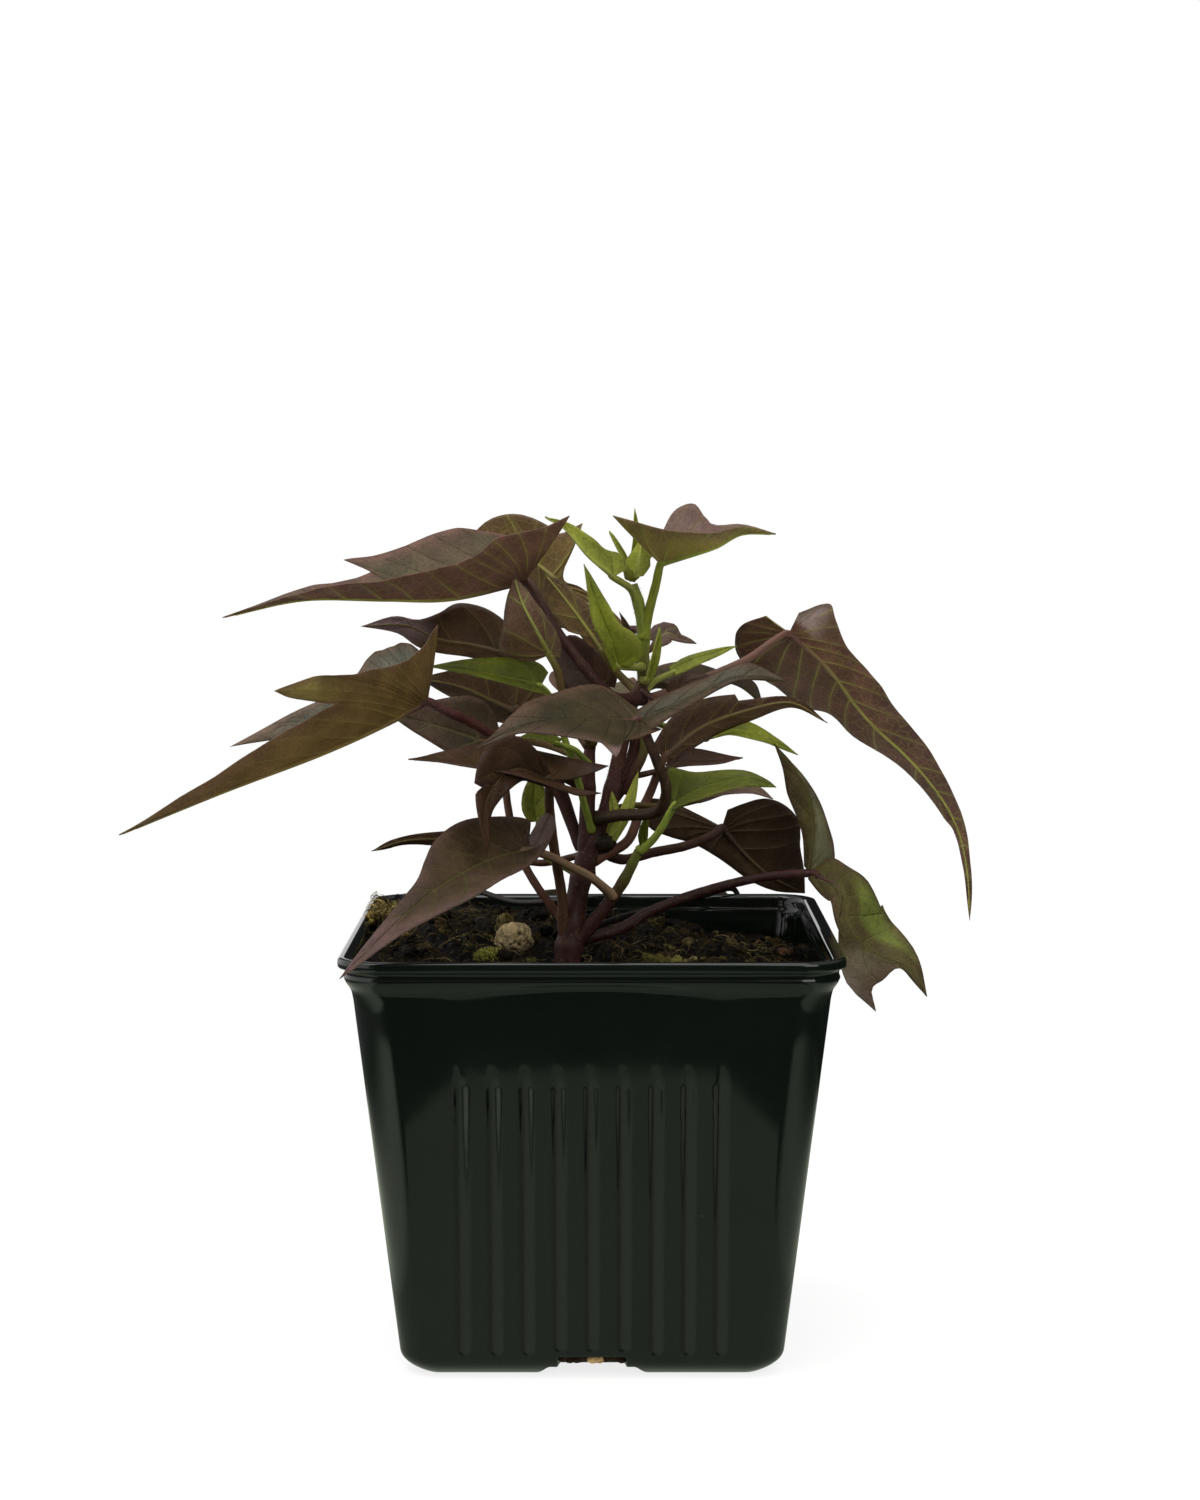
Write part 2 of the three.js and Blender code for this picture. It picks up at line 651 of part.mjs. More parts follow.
        right: [[0.01, 1.5], [0.12, 4], [0.28, 3.8], [0.42, 3.2], [0.54, 4], [0.61, 7],
          [0.7, 13, 0, 1], [0.66, 8], [0.7, 5], [0.76, 1.4], [0.88, 1]],
      },
      {
        rib: [[53, 14, 109], [54, 14, 121], [51, 12, 131], [44, 10, 141]],
        up: [0.5, -0.8, 0.2],
        fold: [-25, -25],
        left: [[0.04, 1.4], [0.2, 2.6], [0.41, 4], [0.66, 4.2], [0.85, 1.8]],
        right: [[-0.02, 7], [0.06, 11], [0.18, 10], [0.33, 6.4], [0.59, 3.2], [0.8, 1.4]],
      },
    ],
  },
  leaf_right_heart: {
    finish: 'dark',
    petiole: [[0.4, -1, 117], [7, 8, 113], [15, 14, 114], [23, 19, 115], [29, 22, 117]],
    girth: [1.3, 1.1],
    blades: [{
      rib: [[32, 24, 119], [39, 26, 111], [45, 27, 106], [53, 28, 102]],
      up: [0.1, 0.9, 0.4],
      fold: [14, 14],
      left: [[-0.2, 3], [-0.42, 8], [-0.5, 14], [-0.3, 17.6], [-0.14, 14.6], [0.01, 10.5],
        [0.26, 6.7], [0.54, 5], [0.8, 3]],
      right: [[-0.08, 4], [-0.04, 8], [0.05, 13], [0.2, 15.6], [0.4, 15.6], [0.62, 13], [0.85, 7]],
    }],
  },
  leaf_low_left: {
    finish: 'olive',
    petiole: [[5, -7, 106], [0, -12, 111], [-5, -14.5, 114], [-10, -18, 117]],
    girth: [1.1, 1],
    blades: [{
      rib: [[-15, -22, 119], [-26, -36, 117], [-38, -52, 111], [-55, -66, 96]],
      up: [0.1, -0.5, 0.8],
      fold: [18, 10],
      left: [[-0.02, 2, 4], [-0.02, 4.4, 8.6], [0.06, 6.4, 7], [0.16, 9, 2], [0.3, 11], [0.44, 11.4],
        [0.58, 10.7], [0.7, 7.4], [0.83, 3.6], [0.94, 1.2]],
      right: [[-0.04, 3.4], [-0.15, 6.7], [-0.14, 9.6], [-0.01, 11.8], [0.2, 12.7], [0.38, 11.1],
        [0.5, 8], [0.62, 4.4], [0.76, 2.8], [0.9, 1.5]],
    }],
  },
  leaf_low_left_rear: {
    finish: 'dark',
    petiole: [[-1.4, -1.6, 116], [-5, 4, 114], [-13, 9, 112], [-22, 10, 114]],
    girth: [0.9, 0.8],
    blades: [{
      rib: [[-28, 8, 117], [-36, 7, 118], [-45, 4, 118], [-53, 0, 116]],
      up: [0, 1, 0.2],
      left: [[-0.1, 2.4], [0.1, 3], [0.34, 2], [0.66, 1.2], [0.84, 0.9]],
      right: [[-0.1, 2.4], [0.1, 3.2], [0.3, 2.4], [0.67, 1.1], [0.86, 0.8]],
    }],
  },
  leaf_mid_left: {
    finish: 'dark',
    petiole: [[-3, -4, 94], [-6, -6.4, 98], [-7.2, -8.4, 106], [-9, -12, 118], [-10, -16, 128]],
    girth: [1.3, 1.1],
    blades: [
      {
        rib: [[-10, -20, 135], [-20, -25, 139], [-30, -29, 140.5], [-42, -32, 141]],
        up: [0, -0.4, 0.9],
        fold: [10, 10],
        left: [[-0.34, 3, 2], [-0.16, 6], [0.02, 9], [0.24, 9], [0.5, 6.5], [0.7, 4.6], [0.86, 2]],
        right: [[-0.4, 4.4, 6], [-0.2, 9, 2], [-0.02, 10.4], [0.17, 9], [0.43, 7.5], [0.73, 3.6],
          [0.88, 1.2]],
      },
      {
        rib: [[-10, -20, 135], [-17, -29, 138.5], [-22, -35, 132], [-23, -38, 120]],
        up: [0.2, -0.9, 0.4],
        upTip: [0.9, -0.4, 0.1],
        fold: [14, 14],
        left: [[0, 2], [0.3, 3.4], [0.52, 3.4], [0.7, 2.8], [0.9, 1.4]],
        right: [[0, 2], [0.2, 5], [0.36, 7.4], [0.5, 6.8], [0.62, 5, 0, 1], [0.6, 1.8, 0, 1],
          [0.67, 3.8, 0, 1], [0.8, 2.4], [0.93, 0.9]],
      },
    ],
  },
  leaf_mid_lime: {
    finish: 'lime',
    petiole: [[-1.4, -2, 109], [-6, 1, 111.5], [-11, 2.5, 114], [-13, 2, 118]],
    girth: [0.8, 0.7],
    blades: [{
      rib: [[-13, 2, 123], [-14, 4, 128], [-14, 6, 134]],
      up: [0, -1, 0.2],
      fold: [12, 12],
      left: [[0, 2.4], [0.3, 3.4], [0.62, 2.8], [0.86, 1.6]],
      right: [[0, 2.4], [0.3, 3.2], [0.62, 2.9], [0.88, 1.6]],
    }],
  },
  leaf_under_lime: {
    finish: 'lime',
    petiole: [[-1, -1, 137], [-4, -9, 141]],
    girth: [0.8, 0.7],
    blades: [{
      rib: [[-8, -13, 143], [-13, -14, 144.6], [-18, -14.6, 144]],
      up: [0, -0.3, 1],
      fold: [12, 12],
      left: [[-0.1, 2.4], [0.2, 4], [0.5, 3.2], [0.8, 1.4]],
      right: [[-0.1, 2.4], [0.2, 3.6], [0.5, 2.8], [0.8, 1.2]],
    }],
  },
  leaf_top_right: {
    finish: 'olive',
    petiole: [[12, -3, 167], [13.5, -3.6, 174], [15, -5, 180]],
    girth: [1.2, 0.95],
    blades: [{
      rib: [[16, -6, 185], [23, -10, 187], [29, -12, 189], [35, -12, 192], [43, -10, 192]],
      up: [0, 0, 1],
      fold: [60, 40],
      left: [[-0.06, 4], [0.01, 9], [0.08, 12.6], [0.18, 13.7], [0.34, 13], [0.46, 9.4], [0.62, 5],
        [0.82, 2]],
      right: [[-0.08, 18, 0, 1], [0.05, 13.7], [0.2, 9.6], [0.42, 7], [0.6, 4.6], [0.83, 1.6]],
    }],
  },
  leaf_top_green: {
    finish: 'lime',
    petiole: [[10.8, -3, 176], [9, -5, 179], [7, -7, 180.5]],
    girth: [0.9, 0.8],
    blades: [{
      rib: [[5, -8, 182], [-1, -12, 187], [-6, -14, 193], [-11, -14, 196]],
      up: [0.3, 0.2, 1],
      fold: [60, 55],
      left: [[-0.04, 3], [0.1, 5.2], [0.2, 4.4, 0, 1], [0.27, 3.8], [0.41, 3.7], [0.6, 2.2],
        [0.8, 1]],
      right: [[-0.04, 3], [0.1, 4.6], [0.3, 3.4], [0.55, 2.4], [0.8, 1]],
    }],
  },
  leaf_shoot_lime: {
    finish: 'lime',
    petiole: [[12, -2, 160.5], [10, -7, 160.5]],
    girth: [0.9, 0.8],
    blades: [{
      rib: [[6, -10, 161], [4, -13, 168], [1, -13, 176], [-2, -10, 185]],
      up: [0.2, -0.9, 0.1],
      fold: [25, 25],
      left: [[-0.04, 1.6], [0.15, 2.4], [0.37, 2.8], [0.53, 3.2], [0.71, 2], [0.88, 0.8]],
      right: [[-0.04, 2.6], [0.05, 6], [0.16, 7], [0.3, 6], [0.42, 3.4], [0.6, 2.7], [0.75, 1.8],
        [0.9, 0.8]],
    }],
  },
  leaf_shoot_purple: {
    finish: 'purple',
    petiole: [[0, -1, 142], [-5, -12, 149], [-7, -15, 155], [-8, -16, 160]],
    girth: [1, 0.85],
    blades: [{
      rib: [[-10, -16, 164], [-13, -20, 170], [-16, -21, 176], [-18, -19, 182]],
      up: [0.1, 1, 0.1],
      fold: [25, 25],
      left: [[-0.1, 2], [0.07, 4], [0.37, 3.8], [0.58, 3.1], [0.83, 2]],
      right: [[-0.06, 5], [0.02, 11], [0.1, 12.6, 0, 1], [0.3, 10.6], [0.55, 7.4], [0.8, 4.2],
        [0.94, 1.4]],
    }],
  },
  leaf_right_lime: {
    finish: 'lime',
    petiole: [[11, -8, 117], [14, -9, 119.5], [16.5, -10, 123]],
    girth: [0.95, 0.85],
    blades: [
      {
        rib: [[19, -10, 128], [25, -13, 132], [35, -15, 135], [43, -16, 133]],
        up: [0, -0.5, 0.85],
        fold: [15, 15],
        left: [[-0.06, 5], [-0.04, 9], [0.04, 11.4], [0.18, 8.6], [0.33, 5.4], [0.55, 3.4],
          [0.75, 2.2], [0.91, 1.2]],
        right: [[0.02, 3], [0.18, 6.4], [0.37, 8], [0.62, 6.6], [0.83, 3.2]],
      },
      {
        rib: [[12, -8.5, 118], [12, -9, 122], [13.5, -9.5, 127]],
        up: [0.2, -1, 0],
        left: [[0.05, 0.9], [0.4, 1.3], [0.75, 0.8]],
        right: [[0.05, 0.9], [0.4, 1.3], [0.75, 0.8]],
      },
    ],
  },
  leaf_right_green: {
    finish: 'lime',
    petiole: [[7.6, 0.3, 148], [12, 11, 147], [20, 15, 144]],
    girth: [0.85, 0.75],
    blades: [{
      rib: [[27, 15, 142], [34, 15, 144], [42, 14, 142], [50, 13, 138]],
      up: [0, -0.4, 0.9],
      fold: [10, 10],
      left: [[-0.02, 2], [0.18, 3.2], [0.38, 4], [0.55, 3.4], [0.73, 2], [0.88, 1.1]],
      right: [[-0.02, 2], [0.18, 3.4], [0.45, 4.4], [0.7, 2.4], [0.88, 1.1]],
    }],
  },
  leaf_right_small_dark: {
    finish: 'dark',
    petiole: [[4.8, -0.8, 132], [8, 1, 133.4], [12, 0.5, 134.4]],
    girth: [0.8, 0.7],
    blades: [{
      rib: [[18, 0.8, 136], [23, 0, 137.6], [30, 0, 137.8], [36, 0.6, 138.4]],
      up: [0, -0.3, 1],
      fold: [10, 10],
      left: [[-0.04, 1.6], [0.14, 3.4], [0.36, 5.4], [0.62, 4], [0.84, 1.8]],
      right: [[-0.04, 1.6], [0.14, 3], [0.4, 5.4], [0.66, 4.2], [0.86, 1.8]],
    }],
  },
  leaf_right_small_purple: {
    finish: 'purple',
    petiole: [[3, -1.4, 126], [10, 0, 127], [18, -2, 127]],
    girth: [0.8, 0.7],
    blades: [{
      rib: [[26, -3, 129], [31, -3, 131], [38, -3, 131], [43, -4, 129]],
      up: [0, -0.5, 1],
      fold: [10, 10],
      left: [[-0.06, 2], [0.2, 3.2], [0.5, 3], [0.8, 1.4]],
      right: [[-0.06, 2], [0.2, 3.2], [0.5, 3], [0.8, 1.4]],
    }],
  },
  leaf_tip_lime: {
    finish: 'lime',
    petiole: [[12, -1, 154], [15, -1, 157]],
    girth: [0.8, 0.7],
    blades: [{
      rib: [[19, -1, 159], [24, 1, 161.5], [30, 3, 163.5], [34.5, 4, 165]],
      up: [0, -0.6, 0.8],
      fold: [12, 12],
      left: [[0, 1.6], [0.23, 2], [0.5, 1.6], [0.8, 0.9]],
      right: [[0, 1.6], [0.23, 2.2], [0.5, 2], [0.8, 1]],
    }],
  },
  leaf_small_curled: {
    finish: 'dark',
    petiole: [[11.5, -1, 155], [15, -7, 153]],
    girth: [0.8, 0.7],
    blades: [{
      rib: [[18.5, -10, 154], [21.5, -12, 156.4], [24.5, -13, 157.8], [28.4, -13, 158.8]],
      up: [0, -0.6, 0.8],
      fold: [14, 14],
      left: [[-0.1, 3], [0.12, 4.4], [0.3, 2.8], [0.5, 3.4], [0.8, 1.6]],
      right: [[-0.1, 3], [0.2, 4.2], [0.5, 3.8], [0.8, 1.8]],
    }],
  },
  leaf_behind_shoot: {
    finish: 'purple',
    petiole: [[12, -1.4, 158.6], [11.8, 1, 158.8], [11.2, 2.6, 160]],
    girth: [0.8, 0.7],
    blades: [{
      rib: [[10.6, 3.2, 162.6], [9.2, 3.4, 166.9], [8, 3.2, 170], [6.4, 3, 173.3]],
      up: [0, -1, 0.2],
      fold: [12, 12],
      left: [[-0.1, 1.6], [0.12, 3.4], [0.3, 3.2], [0.45, 1.2], [0.7, 0.8]],
      right: [[-0.1, 1.2], [0.1, 2], [0.3, 2], [0.45, 0.9], [0.7, 0.7]],
    }],
  },
  leaf_small_round: {
    finish: 'purple',
    petiole: [[12, -2, 164], [14, 2.6, 164.4]],
    girth: [0.8, 0.7],
    blades: [{
      rib: [[15, 5, 166], [18, 6, 168], [21, 6, 166.5], [25, 6, 165.5]],
      up: [0, -0.6, 0.8],
      fold: [12, 12],
      left: [[-0.1, 2.2], [0.16, 3.4], [0.38, 3.2], [0.6, 1.6], [0.84, 1.1]],
      right: [[-0.1, 2.4], [0.16, 4], [0.4, 3.4], [0.6, 1.6], [0.84, 1]],
    }],
  },
  leaf_narrow_lime: {
    finish: 'lime',
    petiole: [[12, -1.5, 157.5], [12.6, -4.6, 157]],
    girth: [0.8, 0.75],
    blades: [{
      rib: [[13, -7, 157.4], [14, -8, 162], [15, -8, 166], [16, -8, 170]],
      up: [0.8, -0.6, 0],
      fold: [30, 30],
      left: [[0.02, 1.2], [0.3, 1.9], [0.65, 1.5], [0.85, 0.8]],
      right: [[0.02, 1.2], [0.3, 1.9], [0.65, 1.5], [0.85, 0.8]],
    }],
  },
  leaf_centre_high: {
    finish: 'purple',
    petiole: [[11, -0.8, 154], [7.6, 2, 157], [4.8, 3, 160]],
    girth: [1, 0.9],
    blades: [{
      rib: [[2.5, 3, 163.6], [-1.6, 4, 169.6], [-6.4, 6, 176], [-11.4, 8, 182.1]],
      up: [0, 1, 0.2],
      fold: [14, 14],
      left: [[0.04, 1.8], [0.29, 3.5], [0.45, 3.9], [0.67, 2.9], [0.85, 2.1]],
      right: [[0.05, 1], [0.2, 2.3], [0.36, 2.4, 0, 1], [0.41, 4.4], [0.58, 5.3], [0.79, 5.8],
        [0.9, 3.8]],
    }],
  },
  leaf_rear_middle: {
    finish: 'purple',
    petiole: [[6.8, 0.2, 143], [6, 8, 142], [4, 18, 145]],
    girth: [1.2, 1],
    blades: [{
      rib: [[2, 27, 150], [2, 41, 152], [3, 55, 148], [3, 69, 138]],
      up: [0, 0.1, 1],
      fold: [20, 20],
      left: [[-0.16, 7], [-0.1, 12], [0.04, 14], [0.28, 12.4], [0.55, 7.4], [0.8, 2.8]],
      right: [[-0.16, 5], [-0.1, 8], [0.06, 10], [0.3, 9], [0.56, 6.4], [0.8, 2.8]],
    }],
  },
  leaf_centre_dark: {
    finish: 'dark',
    petiole: [[-1, 0, 134], [0, 6, 142], [2, 9, 149]],
    girth: [1.1, 0.9],
    blades: [{
      rib: [[2.8, 9, 155.1], [-0.6, 10.5, 158.6], [-4.5, 12, 162.4], [-7.7, 13, 166.2]],
      up: [0, -1, 0.3],
      fold: [12, 12],
      left: [[-0.04, 2.6], [0.2, 6.8], [0.52, 7.9], [0.7, 6.3], [0.9, 3.7]],
      right: [[-0.14, 1.6], [-0.03, 4], [0.17, 5.6, 1.5], [0.35, 6.2], [0.47, 4.8], [0.66, 4.6],
        [0.93, 3]],
    }],
  },
  leaf_rear_right: {
    finish: 'olive',
    petiole: [[8, 0, 151], [12, 8, 154], [16, 17, 155]],
    girth: [1.2, 1],
    blades: [{
      rib: [[21, 26, 153], [29, 34, 155], [37, 44, 153], [44, 56, 147]],
      up: [0.1, -0.2, 1],
      fold: [18, 18],
      left: [[-0.2, 5], [-0.12, 8], [0.08, 9.6], [0.32, 8.6], [0.58, 5.6], [0.82, 2.4]],
      right: [[-0.2, 5], [-0.12, 9], [0.08, 11], [0.32, 9.6], [0.58, 6], [0.82, 2.4]],
    }],
  },
  leaf_rear_low: {
    finish: 'olive',
    petiole: [[-2, -1, 100], [-3, 18, 100], [-3, 40, 102.5], [-3, 56, 101.5]],
    girth: [1.3, 1],
    blades: [{
      rib: [[-3, 62.5, 92], [-5, 66, 80], [-7, 68, 68], [-9, 69, 54]],
      up: [0, 1, 0.3],
      fold: [4, 4],
      left: [[-0.16, 8], [-0.08, 12.6], [0.12, 14], [0.36, 11.6], [0.62, 6.6], [0.84, 2.4]],
      right: [[-0.16, 8], [-0.08, 12.6], [0.12, 14], [0.36, 11.6], [0.62, 6.6], [0.84, 2.4]],
    }],
  },
  leaf_rear_low_right: {
    finish: 'purple',
    petiole: [[-2, -2, 97], [9, 22, 97.4], [20, 44, 98.6], [27, 56, 101.2]],
    girth: [1.2, 1],
    blades: [{
      rib: [[31, 62.5, 93], [34, 66, 82], [38, 68, 71], [43, 69, 59]],
      up: [0.1, 1, 0.3],
      fold: [4, 4],
      left: [[-0.14, 6], [-0.06, 10], [0.12, 11], [0.36, 9.2], [0.62, 5.4], [0.84, 2]],
      right: [[-0.14, 6], [-0.06, 10], [0.12, 11], [0.36, 9.2], [0.62, 5.4], [0.84, 2]],
    }],
  },
  leaf_rear_low_left: {
    finish: 'purple',
    petiole: [[-2, -1, 105], [-9, 14, 102], [-18, 34, 100.5], [-26, 56, 101.3]],
    girth: [1.2, 1],
    blades: [{
      rib: [[-30, 62.5, 93], [-34, 66, 82], [-39, 68, 71], [-44, 69, 60]],
      up: [-0.1, 1, 0.3],
      fold: [4, 4],
      left: [[-0.14, 6], [-0.06, 10], [0.12, 11], [0.36, 9.2], [0.62, 5.4], [0.84, 2]],
      right: [[-0.14, 6], [-0.06, 10], [0.12, 11], [0.36, 9.2], [0.62, 5.4], [0.84, 2]],
    }],
  },
  shoot_tip: {
    finish: 'lime',
    bud: { centre: [9.4, -3.4, 183.4], sizes: [2.2, 2, 2.8] },
    blades: [
      {
        rib: [[9.6, -4, 184], [10.4, -4, 191], [10, -3.6, 198]],
        up: [0, -1, 0.2],
        left: [[0.05, 1], [0.4, 0.9], [0.75, 0.6]],
        right: [[0.05, 1], [0.4, 0.9], [0.75, 0.6]],
      },
      {
        rib: [[10, -5, 181.8], [11, -7.4, 186], [11.6, -7, 191]],
        up: [0, 0.9, 0.3],
        fold: [30, 30],
        left: [[0, 2.4], [0.3, 3.6], [0.7, 2.2]],
        right: [[0, 2.4], [0.3, 3.4], [0.7, 2]],
      },
      {
        rib: [[8.6, -4, 184], [6, -5, 188.6], [4, -5, 192.6]],
        up: [0.5, 0.2, 0.8],
        fold: [30, 30],
        left: [[0, 1], [0.4, 1.4], [0.8, 0.9]],
        right: [[0, 1], [0.4, 1.4], [0.8, 0.9]],
      },
      {
        rib: [[10.4, -2.4, 184], [13, 0, 189], [12.4, 1.6, 194]],
        up: [0, -0.9, 0.3],
        fold: [24, 24],
        left: [[0, 1.4], [0.4, 2.4], [0.8, 1.6]],
        right: [[0, 1.4], [0.4, 2.4], [0.8, 1.6]],
      },
    ],
  },
  axil_buds: {
    finish: 'lime',
    bud: { centre: [2.6, -3.6, 118.5], sizes: [3, 2, 2.2] },
    blades: [
      {
        rib: [[3.6, -3.6, 118.5], [5, -3.4, 125], [4.6, -3.6, 131]],
        up: [0, 1, 0.2],
        left: [[0.05, 1.2], [0.4, 1.7], [0.75, 1]],
        right: [[0.05, 1.2], [0.4, 1.7], [0.75, 1]],
      },
      {
        rib: [[4.4, -4.2, 118.5], [8.4, -5, 127], [11, -5, 136]],
        up: [0, 1, 0.2],
        left: [[0.05, 1.2], [0.4, 1.7], [0.75, 1]],
        right: [[0.05, 1.2], [0.4, 1.7], [0.75, 1]],
      },
    ],
  },
};

// ---------------------------------------------------------------- the object

function meshOf(solid, name, material) {
  const { vertProperties, triVerts, numProp } = solid.getMesh();
  if (numProp !== 3) {
    throw new Error(`${name}: unexpected vertex properties`);
  }
  const geometry = new THREE.BufferGeometry();
  geometry.setAttribute('position', new THREE.BufferAttribute(vertProperties, 3));
  geometry.setIndex(new THREE.BufferAttribute(triVerts, 1));
  const mesh = new THREE.Mesh(geometry, material);
  mesh.name = name;
  return mesh;
}

const vine = new THREE.Group();
vine.name = 'sweet_potato_vine';

const stems = union(stemTubes(0));
const aroundStems = union(stemTubes(GAP));
const onSoil = [lumpSolid(NUGGET, GAP), lumpSolid(MOSS, GAP)];

vine.add(meshOf(potSolid(), 'pot', FINISH.pot));
vine.add(meshOf(soilSolid([aroundStems, ...onSoil]), 'soil', FINISH.soil));
vine.add(meshOf(lumpSolid(NUGGET), 'bark_nugget', FINISH.bark));
vine.add(meshOf(lumpSolid(MOSS), 'moss_patch', FINISH.moss));
vine.add(meshOf(stems, 'stems', FINISH.stem));
for (const [name, leaf] of Object.entries(LEAVES)) {
  const trimmed = largest(leafSolid(leaf).subtract(aroundStems).simplify(SIMPLIFY));
  vine.add(meshOf(trimmed, name, FINISH[leaf.finish]));
}

export default vine;
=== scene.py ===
"""Sweet potato vine in a square nursery pot: its finer pieces, finishes, light and camera.

Metres, +Z up. The origin is on the floor under the middle of the pot, and -Y is the front. The sizes below
are in millimetres, as they are in the part's source, and become metres where a mesh is made.
"""

import functools
import logging
import math
from dataclasses import dataclass, field
from enum import Enum

import bpy
import numpy as np
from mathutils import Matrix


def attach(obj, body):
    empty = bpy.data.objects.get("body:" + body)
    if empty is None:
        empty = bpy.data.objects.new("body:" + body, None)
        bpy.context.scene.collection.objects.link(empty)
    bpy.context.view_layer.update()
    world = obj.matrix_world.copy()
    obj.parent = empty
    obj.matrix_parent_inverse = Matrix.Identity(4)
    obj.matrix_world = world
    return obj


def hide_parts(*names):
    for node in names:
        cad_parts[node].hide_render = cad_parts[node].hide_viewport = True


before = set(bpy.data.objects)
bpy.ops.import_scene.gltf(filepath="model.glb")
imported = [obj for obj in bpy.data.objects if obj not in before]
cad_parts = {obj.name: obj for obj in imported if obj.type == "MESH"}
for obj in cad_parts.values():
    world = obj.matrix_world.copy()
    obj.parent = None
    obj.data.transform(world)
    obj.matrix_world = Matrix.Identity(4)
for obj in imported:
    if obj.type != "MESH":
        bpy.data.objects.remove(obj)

LOG = logging.getLogger("vine")
MM = 0.001
Array = np.ndarray
Point = tuple[float, float, float]
Material = bpy.types.Material
Socket = bpy.types.NodeSocket


# -------- curves, noise and colours

def linear(code: str) -> Array:
    """Linear red, green, blue and alpha of a colour.

    Args:
        code: Six hexadecimal digits, as in sRGB.

    Returns:
        Four numbers from 0 to 1, by the sRGB curve ((c + 0.055) / 1.055) ** 2.4.
    """
    c = np.array([int(code[i:i + 2], 16) for i in (0, 2, 4)]) / 255
    low, high = c / 12.92, ((c + 0.055) / 1.055) ** 2.4
    return np.append(np.where(c < 0.04045, low, high), 1.0)


def shaded(code: str, share: float) -> str:
    """Code of a colour with each of its three numbers taken times a share."""
    return "".join(f"{min(255, round(int(code[i:i + 2], 16) * share)):02x}" for i in (0, 2, 4))


def smoothstep(low: float, high: float, x: Array) -> Array:
    """Ramp 3t^2 - 2t^3 of x, from 0 at low to 1 at high, which falls where high is less than low."""
    t = np.clip((np.asarray(x, float) - low) / (high - low), 0, 1)
    return t * t * (3 - 2 * t)


def span(p0: Array, p1: Array, p2: Array, p3: Array, w: Array) -> Array:
    """From p1 to p2: p1 + w/2 (p2-p0) + w^2 (p0 - 5/2 p1 + 2 p2 - p3/2) + w^3 (3/2 (p1-p2) + (p3-p0)/2)."""
    cubic = w ** 3 * (1.5 * (p1 - p2) + 0.5 * (p3 - p0))
    return p1 + 0.5 * w * (p2 - p0) + w * w * (p0 - 2.5 * p1 + 2 * p2 - 0.5 * p3) + cubic


def catmull(points: Array, t: Array) -> Array:
    """Uniform Catmull-Rom curve through points, its ends extended as 2a - b.

    Args:
        points: Its points, one a row.
        t: Places on it from 0 to 1.

    Returns:
        Its point at each place.
    """
    points = np.asarray(points, float)
    spans = len(points) - 1
    place = np.clip(np.asarray(t, float), 0, 1) * spans
    i = np.minimum(place.astype(int), spans - 1)
    ends = np.concatenate([[2 * points[0] - points[1]], points, [2 * points[-1] - points[-2]]])
    return span(ends[i], ends[i + 1], ends[i + 2], ends[i + 3], (place - i)[..., None])


def unit(v: Array) -> Array:
    """Vectors divided by their lengths."""
    return v / np.maximum(np.linalg.norm(v, axis=-1, keepdims=True), 1e-12)


def lerp(a: Array, b: Array, t: Array) -> Array:
    """a + t (b - a)."""
    return a + t * (b - a)


def spread(values: Array, t: Array) -> Array:
    """Values that lie evenly from 0 to 1, read at t."""
    return np.interp(t * (len(values) - 1), np.arange(len(values)), values)


def run_of(points: Array) -> Array:
    """Length of a line up to each of its points."""
    return np.concatenate([[0], np.cumsum(np.linalg.norm(np.diff(points, axis=0), axis=1))])


def joined(*parts: Array | float) -> Array:
    """Arrays and numbers, made the same shape, as the last axis of one array."""
    return np.stack(np.broadcast_arrays(*parts), -1)


def rugged(x: Array, y: Array, cell: float, seed: int, octaves: int = 3) -> Array:
    """Value noise: random heights on a lattice, joined by smooth ramps, with finer layers of half the height.

    Args:
        x: Places across, in mm.
        y: Places along, in mm.
        cell: The widest layer's lattice, in mm.
        seed: Seed of the heights.
        octaves: How many layers.

    Returns:
        Heights from about -1 to 1.
    """
    heights = np.random.default_rng(seed).random((64, 64)) * 2 - 1
    total = np.zeros(np.broadcast(x, y).shape)
    weight = 1.0
    for octave in range(octaves):
        gx, gy = x / cell + 17.3 * octave, y / cell + 9.1 * octave
        ix, iy = np.floor(gx).astype(int), np.floor(gy).astype(int)
        fx, fy = smoothstep(0, 1, gx - ix), smoothstep(0, 1, gy - iy)
        a, b = heights[ix % 64, iy % 64], heights[(ix + 1) % 64, iy % 64]
        c, d = heights[ix % 64, (iy + 1) % 64], heights[(ix + 1) % 64, (iy + 1) % 64]
        total += weight * lerp(lerp(a, b, fx), lerp(c, d, fx), fy)
        weight, cell = weight / 2, cell / 2
    return total / 1.5


# -------- meshes

def grid_quads(rows: int, columns: int, wrap: bool = False, flip: bool = False) -> Array:
    """Quads of a grid of points that is numbered row by row.

    Args:
        rows: Rows of points.
        columns: Points in a row.
        wrap: True if each row closes on itself.
        flip: True to turn the faces over.

    Returns:
        Four point numbers a quad: (r, c), (r+1, c), (r+1, c+1), (r, c+1).
    """
    r, c = np.meshgrid(np.arange(rows - 1), np.arange(columns if wrap else columns - 1), indexing="ij")
    d = (c + 1) % columns
    quads = joined(r * columns + c, (r + 1) * columns + c, (r + 1) * columns + d, r * columns + d)
    quads = quads.reshape(-1, 4)
    return quads[:, ::-1] if flip else quads


